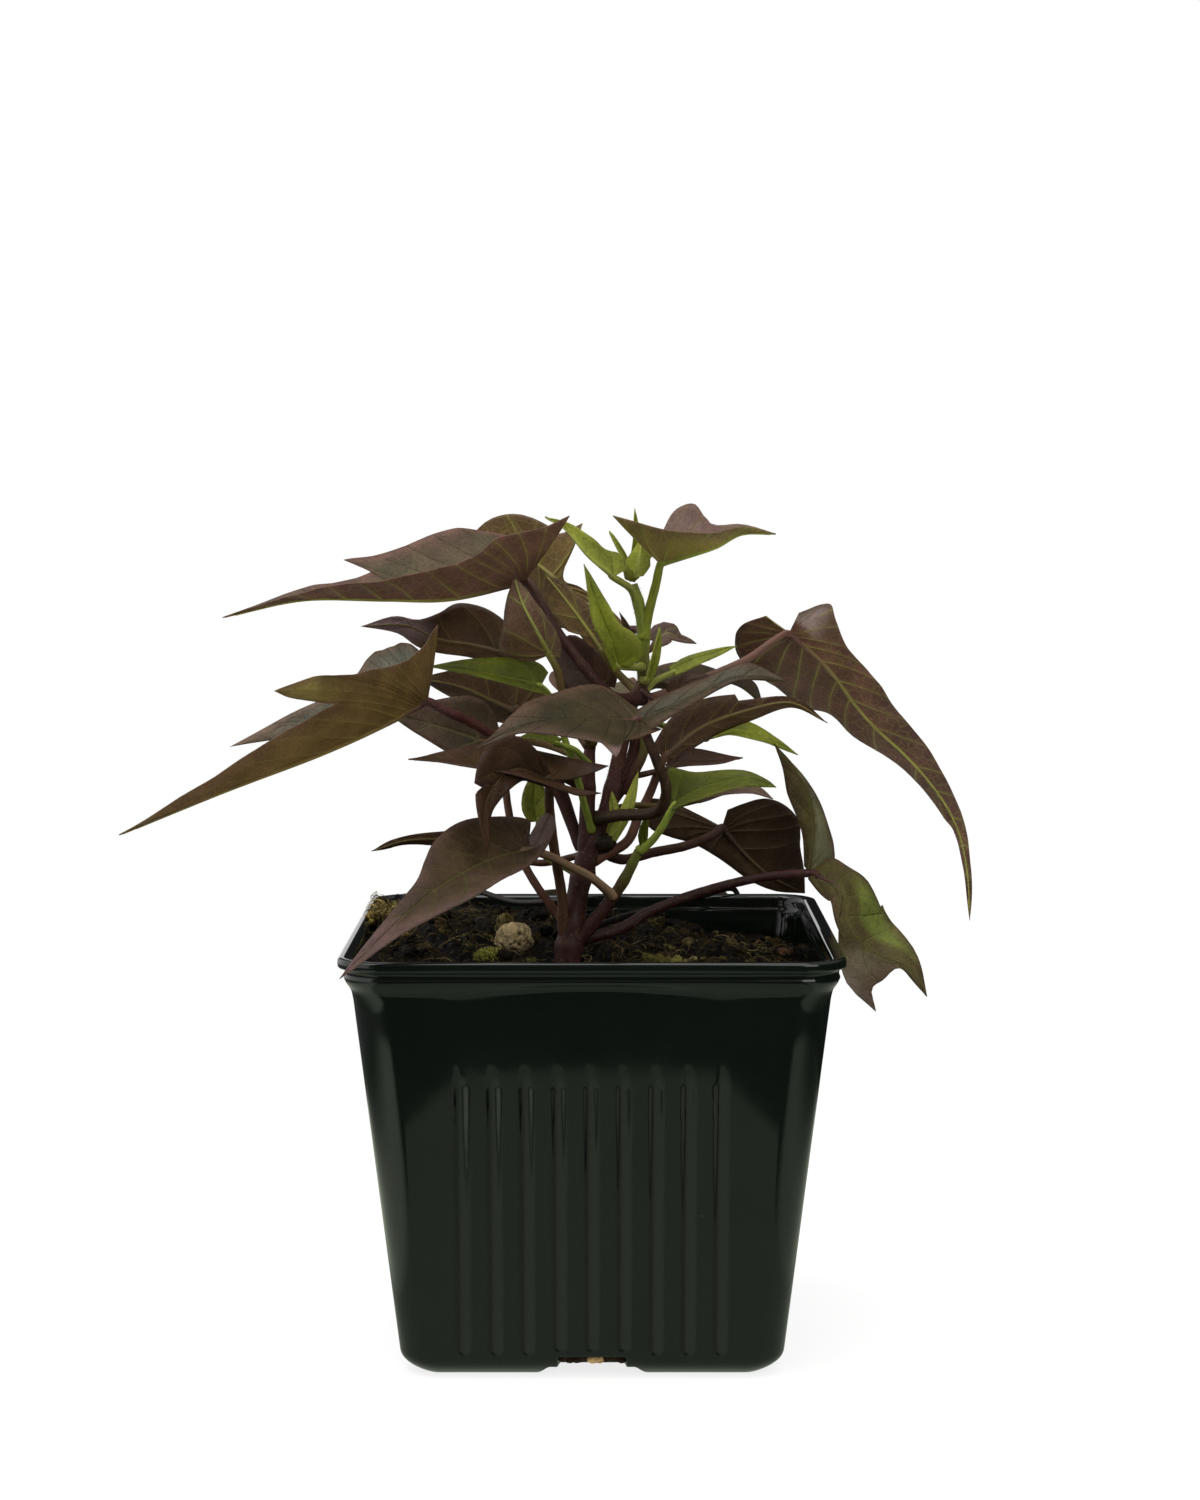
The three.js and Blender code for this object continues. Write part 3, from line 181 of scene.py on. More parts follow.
@dataclass
class Shape:
    """Points, faces and point attributes that are gathered into one mesh."""

    points: list[Array] = field(default_factory=list)
    faces: list[Array] = field(default_factory=list)
    slots: list[Array] = field(default_factory=list)
    values: dict[str, list[Array]] = field(default_factory=dict)
    count: int = 0

    def stitch(self, faces: Array, slot: int = 0) -> None:
        """Adds quads or triangles that number points which it has."""
        self.faces.append(faces)
        self.slots.append(np.full(len(faces), slot))

    def add(self, points: Array, faces: list[Array], slot: int = 0, **values: Array) -> None:
        """Adds a surface.

        Args:
            points: Its points in mm.
            faces: Arrays of quads or triangles that number them.
            slot: Material slot of its faces.
            **values: Attributes, one row a point or one for all; the same names every time.
        """
        points = points.reshape(-1, 3)
        for block in faces:
            self.stitch(block + self.count, slot)
        self.points.append(points)
        for name, value in values.items():
            value = np.asarray(value, float)
            rows = np.broadcast_to(value, (len(points), value.shape[-1]))
            self.values.setdefault(name, []).append(rows)
        self.count += len(points)

    def build(self, name: str, materials: list[Material]) -> bpy.types.Object:
        """Makes the mesh and its object.

        Args:
            name: The piece's name.
            materials: Its materials, by slot.

        Returns:
            The object, in the scene, smooth shaded.
        """
        mesh = bpy.data.meshes.new(name)
        points = np.concatenate(self.points) * MM
        sizes = np.concatenate([np.full(len(f), f.shape[1]) for f in self.faces])
        corners = np.concatenate([f.ravel() for f in self.faces])
        starts = np.concatenate([[0], np.cumsum(sizes)[:-1]])
        mesh.vertices.add(len(points))
        mesh.vertices.foreach_set("co", points.ravel())
        mesh.loops.add(len(corners))
        mesh.loops.foreach_set("vertex_index", corners.astype(np.int32))
        mesh.polygons.add(len(sizes))
        mesh.polygons.foreach_set("loop_start", starts.astype(np.int32))
        mesh.polygons.foreach_set("material_index", np.concatenate(self.slots).astype(np.int32))
        mesh.polygons.foreach_set("use_smooth", np.ones(len(sizes), bool))
        for key, parts in self.values.items():
            value = np.concatenate(parts)
            kind, member = (("FLOAT_COLOR", "color") if value.shape[1] == 4 else ("FLOAT_VECTOR", "vector"))
            mesh.attributes.new(key, kind, "POINT").data.foreach_set(member, value.ravel())
        mesh.update(calc_edges=True)
        mesh.validate()
        for material in materials:
            mesh.materials.append(material)
        piece = bpy.data.objects.new(name, mesh)
        bpy.context.scene.collection.objects.link(piece)
        return piece

    def place(self, name: str, materials: list[Material], slot: str, *nodes: str) -> None:
        """Makes the piece, fixes it to the plant and hides the plain solids that it replaces.

        Args:
            name: Its name.
            materials: Its materials, by slot.
            slot: Not used.
            *nodes: The plain solids that it replaces.
        """
        piece = self.build(name, materials)
        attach(piece, "root")
        if nodes:
            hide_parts(*nodes)
        LOG.info("%s: %d faces", name, len(piece.data.polygons))


def rings_along(path: Array, radii: Array, sides: int, steps: int) -> tuple[Array, Array, Array]:
    """Rings of a tube: centre + r (cos a across + sin a side), with across carried along without twisting.

    Args:
        path: Points of its centreline.
        radii: Radii spread evenly along it.
        sides: Points in a ring.
        steps: Spans between rings.

    Returns:
        The rings (steps + 1, sides, 3), the places along from 0 to 1, and the tube's length up to each ring.
    """
    t = np.linspace(0, 1, steps + 1)
    centre = catmull(path, t)
    along = unit(np.gradient(centre, axis=0))
    radius = spread(radii, t)
    across = np.array([1.0, 0, 0]) if abs(along[0][2]) > 0.8 else np.array([0, 0, 1.0])
    frames = []
    for tangent in along:
        across = unit(across - tangent * (across @ tangent))
        frames.append(across)
    across = np.array(frames)
    side = np.cross(along, across)
    a = np.linspace(0, 2 * np.pi, sides, endpoint=False)
    ring = np.cos(a)[None, :, None] * across[:, None] + np.sin(a)[None, :, None] * side[:, None]
    return centre[:, None] + radius[:, None, None] * ring, t, run_of(centre)


def tube_faces(rings: int, sides: int) -> list[Array]:
    """Faces of a tube whose rings are followed by its first and last centre point.

    Args:
        rings: Rings in the tube.
        sides: Points in a ring.

    Returns:
        Its side quads and the triangles of its two ends.
    """
    i = np.arange(sides)
    j = (i + 1) % sides
    first, last, top = rings * sides, rings * sides + 1, (rings - 1) * sides
    side = grid_quads(rings, sides, wrap=True, flip=True)
    return [side, joined(first, j, i), joined(last, top + i, top + j)]


def close_tube(rings: Array) -> Array:
    """Points of a tube's rings with the middle of its first and last ring after them."""
    return np.concatenate([rings.reshape(-1, 3), [rings[0].mean(0), rings[-1].mean(0)]])


def add_stalk(shape: Shape, rings: Array, run: Array, hue: Array, around: Array, slot: int = 0,
              **values: Array) -> None:
    """Adds a closed tube of stalk to a shape.

    Args:
        shape: What it is added to.
        rings: Its rings.
        run: Its length up to each ring, in mm.
        hue: Colour of each ring.
        around: Way round it to each point, in mm.
        slot: Material slot of its faces.
        **values: Other attributes.
    """
    hue = np.repeat(hue, rings.shape[1], 0)
    flat = joined(run[:, None], around, 1.0).reshape(-1, 3)
    hue, flat = (np.concatenate([rows, rows[:1], rows[-1:]]) for rows in (hue, flat))
    shape.add(close_tube(rings), tube_faces(*rings.shape[:2]), slot, hue=hue, flat=flat, **values)


def spikes(feet: Array, tips: Array, wide: Array, side: Array, other: Array) -> tuple[Array, list[Array]]:
    """Three-sided spikes: three points at foot + wide (cos a side + sin a other), drawn out to the tip.

    Args:
        feet: Middle of each spike's foot.
        tips: Their points.
        wide: Radius of the feet.
        side: Unit vectors across the spikes.
        other: Unit vectors square to those.

    Returns:
        Four points a spike, and its triangles.
    """
    corners = [feet + wide * (math.cos(a) * side + math.sin(a) * other) for a in (0, 2.09, 4.19)]
    start = np.arange(len(feet))[:, None, None] * 4
    triangles = np.array([[0, 1, 3], [1, 2, 3], [2, 0, 3], [0, 2, 1]]) + start
    return np.stack([*corners, tips], 1), [triangles.reshape(-1, 3)]


# -------- finishes

@dataclass
class Nodes:
    """Node tree of a material or the world, with short calls that add and join its nodes."""

    owner: bpy.types.ID

    def __post_init__(self) -> None:
        """Starts from an empty tree."""
        self.owner.use_nodes = True
        self.tree = self.owner.node_tree
        self.tree.nodes.clear()

    def add(self, kind: str, inputs: dict[int | str, object] | None = None,
            **options: object) -> bpy.types.Node:
        """Adds a shader node.

        Args:
            kind: Its type without the ShaderNode in front.
            inputs: Sockets, numbers or colours for its inputs, by number or name.
            **options: Properties of the node.

        Returns:
            The node.
        """
        node = self.tree.nodes.new("ShaderNode" + kind)
        for key, value in options.items():
            setattr(node, key, value)
        for key, term in (inputs or {}).items():
            self.join(term, node.inputs[key])
        return node

    def join(self, source: object, target: Socket) -> None:
        """Feeds an input of a node.

        Args:
            source: A socket to link to it, a number or colour to set it to, or None to leave it be.
            target: The input.
        """
        if isinstance(source, Socket):
            self.tree.links.new(source, target)
        elif source is not None:
            target.default_value = source

    def attribute(self, name: str, output: str = "Vector") -> Socket:
        """Vector or Color of one of the piece's own attributes."""
        return self.add("Attribute", attribute_name=name).outputs[output]

    def object_space(self) -> Socket:
        """The piece's own coordinates, in metres."""
        return self.add("TexCoord").outputs["Object"]

    def split(self, vector: object) -> list[Socket]:
        """The three numbers of a vector."""
        return list(self.add("SeparateXYZ", {0: vector}).outputs)

    def math(self, operation: str, *terms: object) -> Socket:
        """The result of a Math node's operation on sockets or numbers."""
        return self.add("Math", dict(enumerate(terms)), operation=operation).outputs[0]

    def times(self, *terms: object) -> Socket:
        """The product of sockets or numbers."""
        return functools.reduce(functools.partial(self.math, "MULTIPLY"), terms)

    def largest(self, *terms: object) -> Socket:
        """The largest of sockets or numbers."""
        return functools.reduce(functools.partial(self.math, "MAXIMUM"), terms)

    def ramp(self, value: object, low: float, high: float, start: float = 0.0, end: float = 1.0,
             smooth: bool = True) -> Socket:
        """Maps a value from low..high to start..end.

        Args:
            value: What is read.
            low: Its value at the start of the ramp, which may be the larger one.
            high: Its value at the end of the ramp.
            start: Result up to the start.
            end: Result from the end on.
            smooth: True for a smooth ramp, False for a straight one.

        Returns:
            The result.
        """
        inputs = dict(enumerate((value, low, high, start, end)))
        kind = "SMOOTHSTEP" if smooth else "LINEAR"
        return self.add("MapRange", inputs, interpolation_type=kind).outputs[0]

    def blend(self, share: object, first: object, second: object) -> Socket:
        """Mixes two numbers by the share of the second."""
        return self.add("Mix", {0: share, 2: first, 3: second}).outputs[0]

    def mix(self, share: object, first: object, second: object, blend: str = "MIX") -> Socket:
        """Mixes two colours by the share of the second; a single number's socket counts as grey."""
        return self.add("Mix", {0: share, 6: first, 7: second}, data_type="RGBA", blend_type=blend).outputs[2]

    def noise(self, where: object, scale: float, detail: float = 2.0, rough: float = 0.5) -> Socket:
        """Noise from 0 to 1: scale repeats a unit of where, and detail finer layers that are rough high."""
        inputs = {"Vector": where, "Scale": scale, "Detail": detail, "Roughness": rough}
        return self.add("TexNoise", inputs).outputs["Fac"]

    def cells(self, where: object, scale: float, feature: str = "DISTANCE_TO_EDGE") -> Socket:
        """Distance to the edge of a cell, or by F1 to its middle, with scale cells a unit of where."""
        return self.add("TexVoronoi", {"Vector": where, "Scale": scale}, feature=feature).outputs["Distance"]

    def bump(self, height: object, depth: float, strength: float, before: object = None) -> Socket:
        """Normal of a relief, depth mm deep for a height of 1, over the normal of a coarser one before it."""
        inputs = {"Height": height, "Distance": depth * MM, "Strength": strength, "Normal": before}
        return self.add("Bump", inputs).outputs[0]

    def skin(self, color: object, roughness: object, normal: object = None, shine: float = 0.5,
             glow: float = 0.0) -> Socket:
        """Adds a principled shader.

        Args:
            color: Its colour.
            roughness: Its roughness.
            normal: Normal of its relief, if any.
            shine: Its specular level.
            glow: Strength of its own white light.

        Returns:
            The shader.
        """
        return self.add("BsdfPrincipled", {
            "Base Color": color, "Roughness": roughness, "Normal": normal, "Specular IOR Level": shine,
            "Emission Color": (1, 1, 1, 1), "Emission Strength": glow,
        }).outputs[0]

    def finish(self, surface: Socket) -> Material:
        """The material, with a shader on its output."""
        self.add("OutputMaterial", {"Surface": surface})
        return self.owner


@dataclass(frozen=True)
class PotPlastic:
    """Glossy black-green plastic with the soft waves of its mould, fine scratches, a little dust, and painted
    highlight and painted shade in its grooves.
    """

    color: str = "0e1510"
    shade: str = "090e0a"
    dust: str = "4a483e"
    groove_painted_highlight: str = "191e18"
    groove_painted_shade: str = "030403"

    def material(self) -> Material:
        """Makes the plastic: clouded, with sparse specks of dust, grooves with a painted highlight on their
        slope and painted shade at their edge, waves and scratches.

        Returns:
            The material.
        """
        n = Nodes(bpy.data.materials.new("pot plastic"))
        where = n.object_space()
        specks = n.ramp(n.cells(where, 260, "F1"), 0.05, 0.03)
        sparse = n.ramp(n.noise(where, 90, 1), 0.62, 0.68)
        # light and dark are the shares of a painted highlight and a painted shade in the grooves, as if lit
        # from the left
        light, dark, _ = n.split(n.attribute("groove"))
        color = n.mix(n.noise(where, 60, 3), linear(self.color), linear(self.shade))
        color = n.mix(n.times(specks, n.times(sparse, 0.6)), color, linear(self.dust))
        color = n.mix(light, color, linear(self.groove_painted_highlight))
        color = n.mix(dark, color, linear(self.groove_painted_shade))
        roughness = n.ramp(n.noise(where, 140, 3), 0.25, 0.75, 0.05, 0.09)
        waves = n.bump(n.noise(where, 38, 1.5), 0.5, 0.1)
        scratches = n.bump(n.noise(where, 2500, 2), 0.02, 0.1, waves)
        return n.finish(n.skin(color, roughness, scratches))


@dataclass(frozen=True)
class Peat:
    """Dark, damp peat: near-black crumbs with brown fibres and paler grit."""

    hollow: str = "040302"
    crumb: str = "221a0b"
    fibre: str = "4e4220"
    grit: str = "8a7a5c"

    def material(self) -> Material:
        """Makes the peat: crumbs, fibres and grit laid over the dark by noises, and a deep relief.

        Returns:
            The material.
        """
        n = Nodes(bpy.data.materials.new("peat"))
        where = n.object_space()
        clumps = n.ramp(n.noise(where, 260, 4, 0.62), 0.42, 0.7)
        brown = n.ramp(n.noise(where, 700, 3, 0.6), 0.56, 0.7)
        grains = n.ramp(n.cells(where, 700, "F1"), 0.16, 0.1)
        rare = n.ramp(n.noise(where, 260, 1), 0.6, 0.66)
        color = n.mix(clumps, linear(self.hollow), linear(self.crumb))
        color = n.mix(n.times(brown, 0.55), color, linear(self.fibre))
        color = n.mix(n.times(grains, rare, 0.6), color, linear(self.grit))
        relief = n.bump(n.noise(where, 800, 5, 0.65), 1.2, 1.0)
        return n.finish(n.skin(color, n.ramp(clumps, 0, 1, 0.5, 0.95), relief, 0.08))


@dataclass(frozen=True)
class Tinted:
    """Matte stuff whose colour is the piece's own hue attribute, mottled: crumbs, fibres, bark or moss.

    scale is the mottling's, depth its relief in mm, and dark the share of the colour left in its hollows.
    """

    name: str
    scale: float
    depth: float
    dark: float = 0.45
    roughness: float = 0.85

    def material(self) -> Material:
        """Makes the stuff: its hue attribute times a mottle that is its relief too.

        Returns:
            The material.
        """
        n = Nodes(bpy.data.materials.new(self.name))
        mottle = n.noise(n.object_space(), self.scale, 4, 0.6)
        shade = n.ramp(mottle, 0.3, 0.62, self.dark, 1.1)
        color = n.mix(1.0, n.attribute("hue", "Color"), shade, "MULTIPLY")
        return n.finish(n.skin(color, self.roughness, n.bump(mottle, self.depth, 0.8), 0.1))


@dataclass(frozen=True)
class Stalk:
    """Smooth, satiny skin of stems and petioles, with fine lengthwise streaks and pale pores."""

    streak: str = "1c0f0c"
    mottle: str = "6a5538"
    pore: str = "8f8268"

    def material(self) -> Material:
        """Makes the skin: streaks, mottle and pores over the hue attribute; flat is mm along and around.

        Returns:
            The material.
        """
        n = Nodes(bpy.data.materials.new("stalk skin"))
        flat = n.attribute("flat")
        stretched = n.add("Mapping", {"Vector": flat, "Scale": (0.12, 1.6, 1)}).outputs[0]
        streak = n.noise(stretched, 1.6, 3, 0.6)
        mottle = n.noise(n.object_space(), 420, 3)
        pores = n.ramp(n.cells(flat, 0.9, "F1"), 0.17, 0.1)
        color = n.mix(n.ramp(streak, 0.4, 0.75, 0.0, 0.4), n.attribute("hue", "Color"), linear(self.streak))
        color = n.mix(n.ramp(mottle, 0.5, 0.8, 0.0, 0.25), color, linear(self.mottle))
        color = n.mix(n.times(pores, 0.3), color, linear(self.pore))
        relief = n.bump(pores, 0.06, 0.6, n.bump(streak, 0.12, 0.5))
        return n.finish(n.skin(color, n.ramp(mottle, 0.3, 0.7, 0.48, 0.62), relief, 0.25))


@dataclass(frozen=True)
class LeafSkin:
    """Leaf blade: main veins on the rows of its surface, a fine net between them, and mottled colour.

    Its attributes are hue and vein_hue, the colours; vein, the row's vein number, the share of the way out
    to the margin and the mm from one vein to the next; flat, mm along and across the blade and how strongly
    veins show; and rib, the half width of the midrib in mm, the relief's sign and the share of the net.
    """

    def material(self) -> Material:
        """Makes the blade's skin: veins and net, by their distance, over the hue with its patches and specks.

        Returns:
            The material.
        """
        n = Nodes(bpy.data.materials.new("leaf skin"))
        row, outward, gap = n.split(n.attribute("vein"))
        flat = n.attribute("flat")
        _, across, strength = n.split(flat)
        rib_width, sign, net_share = n.split(n.attribute("rib"))
        wander = n.times(n.math("SUBTRACT", n.noise(flat, 0.35, 2), 0.5), 0.7)
        beside = n.math("ABSOLUTE", n.math("SUBTRACT", n.math("FRACT", n.math("ADD", row, 0.5)), 0.5))
        away = n.math("ABSOLUTE", n.math("ADD", n.times(beside, gap), n.times(wander, outward)))
        width = n.ramp(outward, 0, 1, 0.34, 0.1, False)
        vein = n.ramp(n.math("DIVIDE", away, width), 1.25, 0.45)
        rib = n.ramp(n.math("DIVIDE", n.math("ABSOLUTE", across), rib_width), 1.2, 0.6)
        net = n.ramp(n.cells(flat, 0.42), 0.075, 0.015)
        fine = n.ramp(n.cells(flat, 1.3), 0.09, 0.02)
        weave = n.times(n.largest(net, n.times(fine, 0.45)), net_share)
        halo = n.times(n.ramp(away, 1.8, 0.0), 0.26)
        crowd = n.ramp(gap, 0.8, 3.2)
        cover = n.largest(n.times(vein, crowd), rib, weave, n.times(halo, crowd))
        patch = n.noise(flat, 0.11, 3, 0.55)
        speck = n.noise(flat, 1.4, 3, 0.6)
        shade = n.times(n.ramp(patch, 0.3, 0.7, 0.74, 1.24), n.ramp(speck, 0.3, 0.7, 0.8, 1.14))
        body = n.mix(1.0, n.attribute("hue", "Color"), shade, "MULTIPLY")
        color = n.mix(n.times(cover, strength), body, n.attribute("vein_hue", "Color"))
        ridge = n.times(n.math("ADD", n.largest(vein, rib), n.times(net, 0.35)), sign)
        relief = n.bump(n.noise(flat, 3.2, 2), 0.05, 0.55, n.bump(ridge, 0.16, 0.9))
        return n.finish(n.skin(color, n.ramp(patch, 0.3, 0.7, 0.45, 0.58), relief, 0.2))


# -------- leaves

class Dye(Enum):
    """Colours of a leaf: upper and under side, veins above and below, margin, petiole and its leaf end."""

    PLUM = ("554c35", "734e42", "4c4832", "9a9444", "68443e", "3a1e1a", "5a3c30")
    UMBER = ("6a5a54", "5e4725", "5b5546", "8f8a42", "5e4534", "4a2e2c", "6a5a38")
    SPEAR = ("686658", "624c28", "5a604c", "7d6c34", "5e4230", "47241f", "4a2c28")
    BARK = ("452e18", "402a15", "574a2a", "5c4e2a", "46302a", "573c2a", "54402c")
    SLATE = ("4b3d2c", "4c4238", "6f7044", "6a6638", "5c4438", "6a552e", "5a4430")
    OLIVE = ("302810", "46321e", "2b2c16", "5e5428", "503a2c", "382816", "4e3028")
    EARTH = ("43352a", "4c3520", "5a5030", "6e6032", "563c30", "664432", "5c4430")
    ORCHID = ("7c6a66", "684538", "8a8458", "9c9a48", "5e403a", "68483b", "704e42")
    DUSK = ("49411e", "4c4228", "5d5c30", "66602e", "4c382a", "2e140e", "421f1c")
    INK = ("382315", "372818", "4a3c28", "54462c", "3e2a22", "44291e", "45302a")
    MOSS = ("3e2f1d", "503c30", "5c5a2a", "706c34", "563e38", "846c4f", "6e5a40")
    BLUSH = ("68504b", "8d7e40", "8a8048", "98a040", "6e5244", "747c1f", "808a34")
    LEAFGREEN = ("454a0a", "7a8430", "6e7824", "8c943c", "5a6018", "8a9a3a", "8a9838")
    SPRING = ("697018", "aab046", "868e34", "aab254", "767a28", "84883a", "8c9040")
    CHESTNUT = ("5a4630", "664e2e", "8a8638", "8f8c40", "5e4534", "554613", "6a6430")
    ROSE = ("503d35", "5e4232", "8a8450", "8f9048", "60463e", "54441e", "70702e")
    # The last dye's petiole colours are near black: painted shade on the rear petioles where they arch over
    # the back rim
    PAINTED_SHADE = ("463c2c", "4a3329", "4c4832", "8f8a40", "4a382e", "080604", "0e0a07")


# Rows of a blade between two veins, as shares of the way from one to the next.
VEIN_ROWS = np.array([0, 0.05, 0.14, 0.3, 0.5, 0.7, 0.86, 0.95])
# How far ahead along the rib a vein reaches the margin, for each mm that it runs out.
VEIN_LEAD = 1.2
# Width of a blade's columns in mm, and the fewest and most that it has on a side.
COLUMN_WIDTH, FEWEST_COLUMNS, MOST_COLUMNS = 1.15, 4, 15
# How strongly a blade's veins show from above and from below, and its net of fine ones between them.
VEINS_ABOVE, VEINS_BELOW, NET_SHARE = 0.4, 0.68, 0.3


@dataclass(frozen=True)
class Stain:
    """Patch of another colour on a blade, above and below.

    It lies on a half (0 the left, 1 the right), from start to end along the rib and from out mm outwards.
    """

    half: int
    start: float
    end: float
    upper: str
    under: str
    out: float = -4.0
    soft: float = 0.06

    def share(self, u: Array, w: Array, stray: Array) -> Array:
        """How much of the patch shows.

        Args:
            u: Places along the rib.
            w: Distances from it in mm.
            stray: Noise from about -1 to 1 that makes its border uneven.

        Returns:
            Shares from 0 to 1, a ramp at each end times a ramp at its inner border.
        """
        u, w = u + 0.6 * self.soft * stray, w + 0.8 * stray
        along = smoothstep(self.start - self.soft, self.start + self.soft, u)
        along = along * smoothstep(self.end + self.soft, self.end - self.soft, u)
        return along * smoothstep(self.out - 1.2, self.out + 1.2, w)


@dataclass(frozen=True)
class Blade:
    """One blade: a rib in space, and an outline on each side of it by points (u, w, lift, sharp).

    u is the place along the rib, w the distance from it, lift raises the margin off the blade, and sharp
    marks the point of a lobe or a notch; the last two are 0 if they aren't given. Without a right outline,
    the left one serves both sides. A half leaves the rib at its fold angle. With a sweep the veins leave the
    rib by that power of their place, and without one they run ahead by VEIN_LEAD.
    """

    rib: tuple[Point, ...]
    up: Point
    left: tuple[tuple[float, ...], ...]
    right: tuple[tuple[float, ...], ...] = ()
    up_tip: Point | None = None
    fold: tuple[float, float] = (20, 20)
    sweep: float = 0.0
    cup: float = 0.4
    vein_gap: float = 8.0
    half_thick: float = 0.19
    stains: tuple[Stain, ...] = ()
    dye: Dye | None = None

    def outline(self, half: int) -> tuple[Array, Array]:
        """Outline of one half, with the tip after it.

        Args:
            half: 0 for the left, 1 for the right.

        Returns:
            Its points (u, w, lift), and which of them are sharp.
        """
        rows = (self.left, self.right or self.left)[half]
        table = np.array([(*row, 0, 0)[:4] for row in rows] + [(1, 0, 0, 1)], float)
        return table[:, :3], table[:, 3] > 0

    def margin(self, half: int, t: Array) -> Array:
        """Points of the margin by Catmull-Rom spans that break at the sharp points.

        Args:
            half: 0 for the left, 1 for the right.
            t: Places from 0 at the petiole to 1 at the tip.

        Returns:
            u, w and lift at each place.
        """
        p, sharp = self.outline(half)
        count = len(p) - 1
        place = np.clip(t, 0, 1) * count
        i = np.minimum(place.astype(int), count - 1)
        p1, p2 = p[i], p[i + 1]
        starts, stops = (i == 0) | sharp[i], (i + 1 == count) | sharp[i + 1]
        p0 = np.where(starts[:, None], 2 * p1 - p2, p[np.maximum(i - 1, 0)])
        p3 = np.where(stops[:, None], 2 * p2 - p1, p[np.minimum(i + 2, count)])
        out = span(p0, p1, p2, p3, (place - i)[:, None])
        out[:, 1] = np.maximum(out[:, 1], 0)
        return out

    def length(self) -> float:
        """Length of the rib in mm."""
        return float(run_of(catmull(self.rib, np.linspace(0, 1, 40)))[-1])

    def rows(self) -> tuple[Array, Array]:
        """Places t of the blade's rows and their vein numbers, whole on a vein.

        Veins run to the points of the lobes, and others fill the margin between at about vein_gap mm.

        Returns:
            t from 0 to nearly 1, and the vein number at each.
        """
        bounds = [0.0]
        corners = []
        for half in (0, 1):
            p, sharp = self.outline(half)
            for k in np.flatnonzero(sharp[1:-1]) + 1:
                corners.append(k / (len(p) - 1))
                if p[k, 1] >= p[k + 1, 1]:
                    bounds.append(k / (len(p) - 1))
        bounds = sorted(bounds) + [1.0]
        bounds = [b for i, b in enumerate(bounds) if i == 0 or b - bounds[i - 1] > 0.06 or b == 1.0]
        fine = np.linspace(0, 1, 400)
        scale = (self.length(), 1)
        run = np.maximum(*(run_of(self.margin(half, fine)[:, :2] * scale) for half in (0, 1)))
        veins = []
        for low, high in zip(bounds, bounds[1:]):
            arc = np.interp(high, fine, run) - np.interp(low, fine, run)
            veins.extend(np.linspace(low, high, max(1, round(arc / self.vein_gap)) + 1)[:-1])
        veins = np.array(veins + [1.0])
        t = (veins[:-1, None] + np.diff(veins)[:, None] * VEIN_ROWS).ravel()
        t = np.unique(np.round(np.concatenate([t, corners, [0.985, 0.996]]), 6))
        t = t[t < 0.997]
        return t, np.interp(t, veins, np.arange(len(veins)))

    def roots(self, t: Array, edges: list[Array]) -> Array:
        """Places where the rows leave the rib, each a little past the one before.

        Args:
            t: The rows' places on the margin.
            edges: The margin's points on each half.

        Returns:
            Places along the rib from 0 to nearly 1.
        """
        if self.sweep:
            return 0.93 * t ** self.sweep + 0.07 * t ** (self.sweep + 6)
        ahead = np.min([edge[:, 0] - VEIN_LEAD * edge[:, 1] / self.length() for edge in edges], axis=0)
        ahead = np.minimum.accumulate(np.maximum(ahead, 0)[::-1])[::-1]
        return 0.9 * ahead + 0.1 * t ** 1.5

    def frame_at(self, u: Array) -> tuple[Array, Array, Array]:
        """Points and directions of the rib, which is carried straight on below 0.

        Args:
            u: Places along it.

        Returns:
            Its points, its upward directions and its leftward ones.
        """
        step = 1e-3
        at = np.clip(u, 0, 1)
        first = (catmull(self.rib, np.array(step)) - catmull(self.rib, np.array(0.0))) / step
        points = catmull(self.rib, at) + np.minimum(u, 0)[..., None] * first
        ahead, behind = (catmull(self.rib, np.clip(at + d, 0, 1)) for d in (step, -step))
        along = unit(ahead - behind)
        tip = np.array(self.up if self.up_tip is None else self.up_tip, float)
        up = lerp(np.array(self.up, float), tip, at[..., None])
        up = unit(up - along * (up * along).sum(-1, keepdims=True))
        return points, up, np.cross(up, along)

    def surface(self, half: int, u: Array, w: Array, lift: Array) -> tuple[Array, Array]:
        """Points and upward normals of a half: it leaves the rib at its fold angle and bends on by its cup.

        With a = fold + cup w, across = (sin a - sin fold) / cup and rise = (cos fold - cos a) / cup.

        Args:
            half: 0 for the left, 1 for the right.
            u: Places along the rib.
            w: Distances from it.
            lift: Rise above the bent blade.

        Returns:
            The points and the normals.
        """
        side = 1 - 2 * half
        fold, cup = math.radians(self.fold[half]), math.radians(self.cup)
        rib, up, left = self.frame_at(u)
        a = fold + cup * w
        across = (np.sin(a) - math.sin(fold)) / cup
        rise = (math.cos(fold) - np.cos(a)) / cup
        points = rib + side * across[..., None] * left + (rise + lift)[..., None] * up
        return points, np.cos(a)[..., None] * up - side * np.sin(a)[..., None] * left

